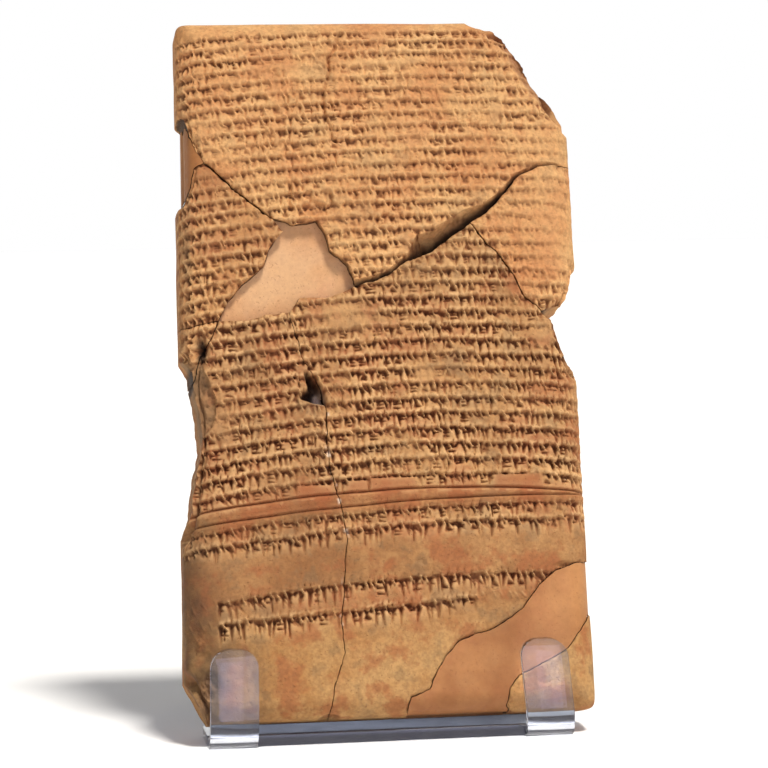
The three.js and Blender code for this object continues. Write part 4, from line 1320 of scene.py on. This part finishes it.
# Broken faces: darker clay, its own colour deepened as painted shade in the gaps between pieces.
broken_clay = clay_material("broken_clay", linear(96, 64, 40), linear(70, 44, 28), linear(98, 58, 38),
                            linear(96, 76, 56), soil=0.0, dust=0.0, bump_strength=0.9, roughness=0.92)
plaster_centre = clay_material("plaster_pink", linear(206, 162, 116), linear(192, 138, 90),
                               linear(216, 156, 118), linear(198, 160, 124), redness=0.3, greyness=0.2,
                               soil=0.0, dust=0.0, bump_strength=0.25, roughness=0.62, patch_size=30.0,
                               hidden=0.0, graininess=0.12)
plaster_corner = clay_material("plaster_ochre", linear(182, 128, 78), linear(144, 92, 50),
                               linear(158, 94, 58), linear(144, 108, 70), redness=0.3, greyness=0.2,
                               soil=0.0, dust=0.0, bump_strength=0.25, roughness=0.55, patch_size=30.0,
                               hidden=0.0, graininess=0.12)
plaster_left = clay_material("plaster_brown", linear(160, 108, 60), linear(140, 90, 48), RED, GREY,
                             redness=0.2, greyness=0.2, soil=0.0, dust=0.0, bump_strength=0.3, roughness=0.65,
                             hidden=0.0, graininess=0.12)
acrylic = acrylic_material()
floor_finish = floor_material()

# The relief of the written face.
stylus = stylus_tip()
strokes_map = pressed_sheet(composed_strokes(), stylus, pressing_tree(), clay_upper)
bpy.data.objects.remove(stylus)
wear = wear_map()
writing, text = writing_relief(strokes_map, wear)
damage, pit, crack = damage_relief()
uneven = clay_unevenness(text)

front, back = two_faces(SURFACE_STEP)
fade = 1 - soft_step(0.35, 0.75, front.rim)
front.relief = (read_sheet(writing, front.flat_x, front.flat_z) * fade
                + read_sheet(uneven, front.flat_x, front.flat_z)
                + read_sheet(damage, front.place[..., 0], front.place[..., 2]) * (1 - soft_step(0.6, 1, front.rim)))
back_fade = 1 - soft_step(0.25, 0.6, back.rim)
back.relief = (0.4 * read_sheet(blur(writing, 0.8), -back.flat_x, back.flat_z) * back_fade
               * soft_step(66, 74, back.flat_z) + read_sheet(uneven, -back.flat_x, back.flat_z))
tablet = object_from("tablet", skin_mesh("tablet", front, back))

# The plaster fills are smooth and lie lower than the clay round them.
front, back = two_faces(2 * SURFACE_STEP)
smooth = read_sheet(0.25 * uneven + 0.25, front.flat_x, front.flat_z)
x, y, z = np.moveaxis(front.place, -1, 0)
sunk = ((x > -50) & (x < -2) & (z > 111) & (z < 146)).astype(float)
level = -(RIM_THICKNESS / 2 + FRONT_SWELL * fullness(-25.0, 130.0)) + CENTRE_FILL_DEPTH
dish = 0.35 * cloud(np.stack([x.ravel(), x.ravel() * 0, z.ravel()], 1), 16, 2, 91).reshape(x.shape)
front.relief = (FLUSH_FILL_DEPTH + smooth - 0.3) * (1 - sunk) + (level - y + dish + 0.1) * sunk
back.relief[:] = 0.35
for face in (front, back):
    beside_left_fill = (face.place[..., 0] < -40) & (face.place[..., 2] > 140)
    face.relief += (LEFT_FILL_SIDE_DEPTH - 0.35) * soft_step(0.15, 0.6, face.rim) * beside_left_fill
plaster = object_from("plaster", skin_mesh("plaster", front, back))

walls = bpy.data.collections.new("walls")
bpy.context.scene.collection.children.link(walls)
for name, points in JOINS.items():
    walls.objects.link(thin_wall("wall_" + name, points, JOIN_GAPS.get(name, 0.25)))
flake = flaked_edge()

# Painted shade: how far the strokes, chips and pit are darkened, from how deep they go.
recess = np.clip(np.maximum(writing / 1.6, 0.5 * damage / 1.5), 0, 1)
bare_rim = inside_outline(BARE_RIM)
# Painted highlight: the lips of the rows, where they stand up, are marked to be coloured pale.
lip = np.clip((blur(writing, 0.9) - writing) * 1.6, 0, 1) * text
pale = np.clip(pit * spot(-17.8, 91.0, 2.0, 3.0) + 0.8 * soft_step(0.9, 0.2, distance_to(
    crumbled_line(JOINS["lower_left_to_lower_right"][4:10]), 2)) * soft_step(0.25, 0.5, sheet_noise(1.6, 2, 95)),
    0, 1)
# Darker clay, part grime and part painted shade: on the bare rim and behind the left tab, and painted shade down
# the left edge.
grime = blur(bare_rim, 0.5) + 0.9 * spot(-56, 22, 9, 34, 0.7) + 0.7 * spot(-54, 150, 2, 30, 0.4)
grime += 0.5 * spot(-43, 14, 9, 14, 0.6)
grime = np.clip(grime * (0.8 + 0.8 * sheet_noise(5, 3, 96)), 0, 1)
smooth_red = np.clip(blur(sum(
    (np.maximum(np.abs(sheet_x - x) / across, np.abs(sheet_z - z) / high) < 1).astype(float)
    for x, z, across, high in BLOCKS) + 0.5 * ((sheet_z > 60) & (sheet_z < 66.5)), 0.4), 0, 1)
# Painted shade: near-black in the pit and in the deepest hollow at the left.
hidden = np.maximum(pit * (1 - spot(-17.6, 91.3, 1.3, 2.4)), spot(-50.2, 105.6, 1.9, 3.4))
# The wear map holds both pale dust on worn writing and the painted highlight on the lips.
maps = {"crack": crack, "recess": recess, "hidden": hidden, "wear": np.maximum(0.35 * wear * text, lip), "pale": pale, "grime": grime,
        "smooth_red": smooth_red}
finishes = {
    "upper_fragment": clay_upper, "right_fragment": clay_upper, "left_fragment": clay_left,
    "left_sliver": clay_left, "lower_left_fragment": clay_lower_left, "lower_right_fragment": clay_lower,
    "corner_fragment": clay_lower, "centre_fill": plaster_centre, "corner_fill": plaster_corner,
    "left_fill": plaster_left,
}
for name, finish in finishes.items():
    is_fill = name.endswith("fill")
    source = plaster if is_fill else tablet
    piece = object_from(name, source.data.copy())
    piece.data.materials.clear()
    for material in (finish, broken_clay):
        piece.data.materials.append(material)
    outline = dense(outline_of(name) + outline_of(name)[:1], 0.7)[:-1]
    block = crumbled_block("block_" + name, lambda y: outline)
    for material in (finish, broken_clay):
        block.data.materials.append(material)
    cut(piece, "INTERSECT", block)
    bpy.data.objects.remove(block)
    cut(piece, "DIFFERENCE", walls)
    if name == "upper_fragment":
        cut(piece, "DIFFERENCE", flake)
    finish_piece(piece, name,
                 (finish, finish if is_fill else broken_clay), PIECE_LIMITS[name],
                 {key: sheet * (0 if is_fill else 1) for key, sheet in maps.items()})
for thing in [tablet, plaster, flake, *walls.objects]:
    bpy.data.objects.remove(thing)
bpy.data.collections.remove(walls)

stand = cradle(bent_sheet_tree(), acrylic)
places = np.clip(places_of(stand.data) / 1000, cad_bounds[0], cad_bounds[1])
stand.data.vertices.foreach_set("co", places.astype(np.float32).ravel())
stand.data.materials.clear()
stand.data.materials.append(acrylic)
polish = stand.modifiers.new("polish", "BEVEL")
polish.width, polish.segments, polish.limit_method = EDGE_POLISH / 1000, 2, "ANGLE"
polish.angle_limit = math.radians(40)
polish.use_clamp_overlap = True
settle(stand)
stand.name = stand.data.name = "bent_acrylic_cradle"
stand.visible_shadow = False    # clear sheet hardly dims the light
stand.data.set_sharp_from_angle(angle=math.radians(35))
stand.data.polygons.foreach_set("use_smooth", [True] * len(stand.data.polygons))
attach(stand, "root")
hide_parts("acrylic_cradle")

# ------------------------------------------------------------------------------------------------
# Floor, light and camera
# ------------------------------------------------------------------------------------------------

floor_mesh = bpy.data.meshes.new("floor")
floor_mesh.from_pydata([(-30, -30, 0), (30, -30, 0), (30, 30, 0), (-30, 30, 0)], [], [(0, 1, 2, 3)])
floor_mesh.materials.append(floor_finish)
floor = object_from("floor", floor_mesh)


def soft_light(name, place, target, width, height, power, colour=(1, 1, 1)):
    light = bpy.data.lights.new(name, "AREA")
    light.shape, light.size, light.size_y, light.energy, light.color = "RECTANGLE", width, height, power, colour
    lamp = bpy.data.objects.new(name, light)
    lamp.location = place
    lamp.rotation_euler = (Vector(target) - Vector(place)).to_track_quat("-Z", "Y").to_euler()
    bpy.context.scene.collection.objects.link(lamp)


def sunlight(name, toward, strength, spread, colour=(1, 1, 1)):
    light = bpy.data.lights.new(name, "SUN")
    light.energy, light.angle, light.color = strength, math.radians(spread), colour
    lamp = bpy.data.objects.new(name, light)
    lamp.rotation_euler = Vector(toward).to_track_quat("Z", "Y").to_euler()
    bpy.context.scene.collection.objects.link(lamp)


MIDDLE = (0.0, 0.02, 0.1)
sunlight("key_light", (0.2, -0.38, 0.90), 3.8, 11, (1.0, 0.97, 0.92))
sunlight("rear_light", (0.3, 0.7, 0.6), 0.8, 60)
soft_light("fill_light", (0.7, -0.9, 0.35), MIDDLE, 0.9, 0.9, 1.0)
soft_light("lilac_panel", (0.16, -1.13, 0.33), (0.0, 0.0, 0.02), 0.9, 0.6, 3.0, (0.7, 0.66, 1.0))

world = bpy.data.worlds.new("studio")
world.use_nodes = True
sky = Nodes(world.node_tree)
backdrop = world.node_tree.nodes["Background"]
backdrop.inputs["Color"].default_value = (1, 1, 1, 1)
seen = sky.add("ShaderNodeLightPath").outputs
sky.feed(backdrop.inputs["Strength"], sky.ramp(
    sky.sum("MAXIMUM", sky.sum("MAXIMUM", seen["Is Camera Ray"], seen["Is Transmission Ray"]),
            seen["Is Glossy Ray"]), 0.0, 1.0, 0.14, 1.0))
bpy.context.scene.world = world
bpy.context.scene.view_settings.view_transform = "Standard"

CAMERA_SIDE, CAMERA_HEIGHT, CAMERA_ROLL = math.radians(-8.0), math.radians(3.0), math.radians(-1.0)
CAMERA_DISTANCE, CAMERA_AIM = 0.8, Vector((0.0021, 0.02, 0.0960))
lens = bpy.data.cameras.new("camera")
lens.sensor_width, lens.lens = 36.0, 133.9
camera = bpy.data.objects.new("camera", lens)
toward = Vector((math.sin(CAMERA_SIDE) * math.cos(CAMERA_HEIGHT), -math.cos(CAMERA_SIDE) * math.cos(CAMERA_HEIGHT),
                 math.sin(CAMERA_HEIGHT)))
right = Vector((math.cos(CAMERA_SIDE), math.sin(CAMERA_SIDE), 0))
up = toward.cross(right)
tilted_right = right * math.cos(CAMERA_ROLL) + up * math.sin(CAMERA_ROLL)
tilted_up = up * math.cos(CAMERA_ROLL) - right * math.sin(CAMERA_ROLL)
camera.matrix_world = Matrix.Translation(CAMERA_AIM + toward * CAMERA_DISTANCE) @ Matrix(
    (tilted_right, tilted_up, toward)).transposed().to_4x4()
bpy.context.scene.collection.objects.link(camera)
bpy.context.scene.camera = camera
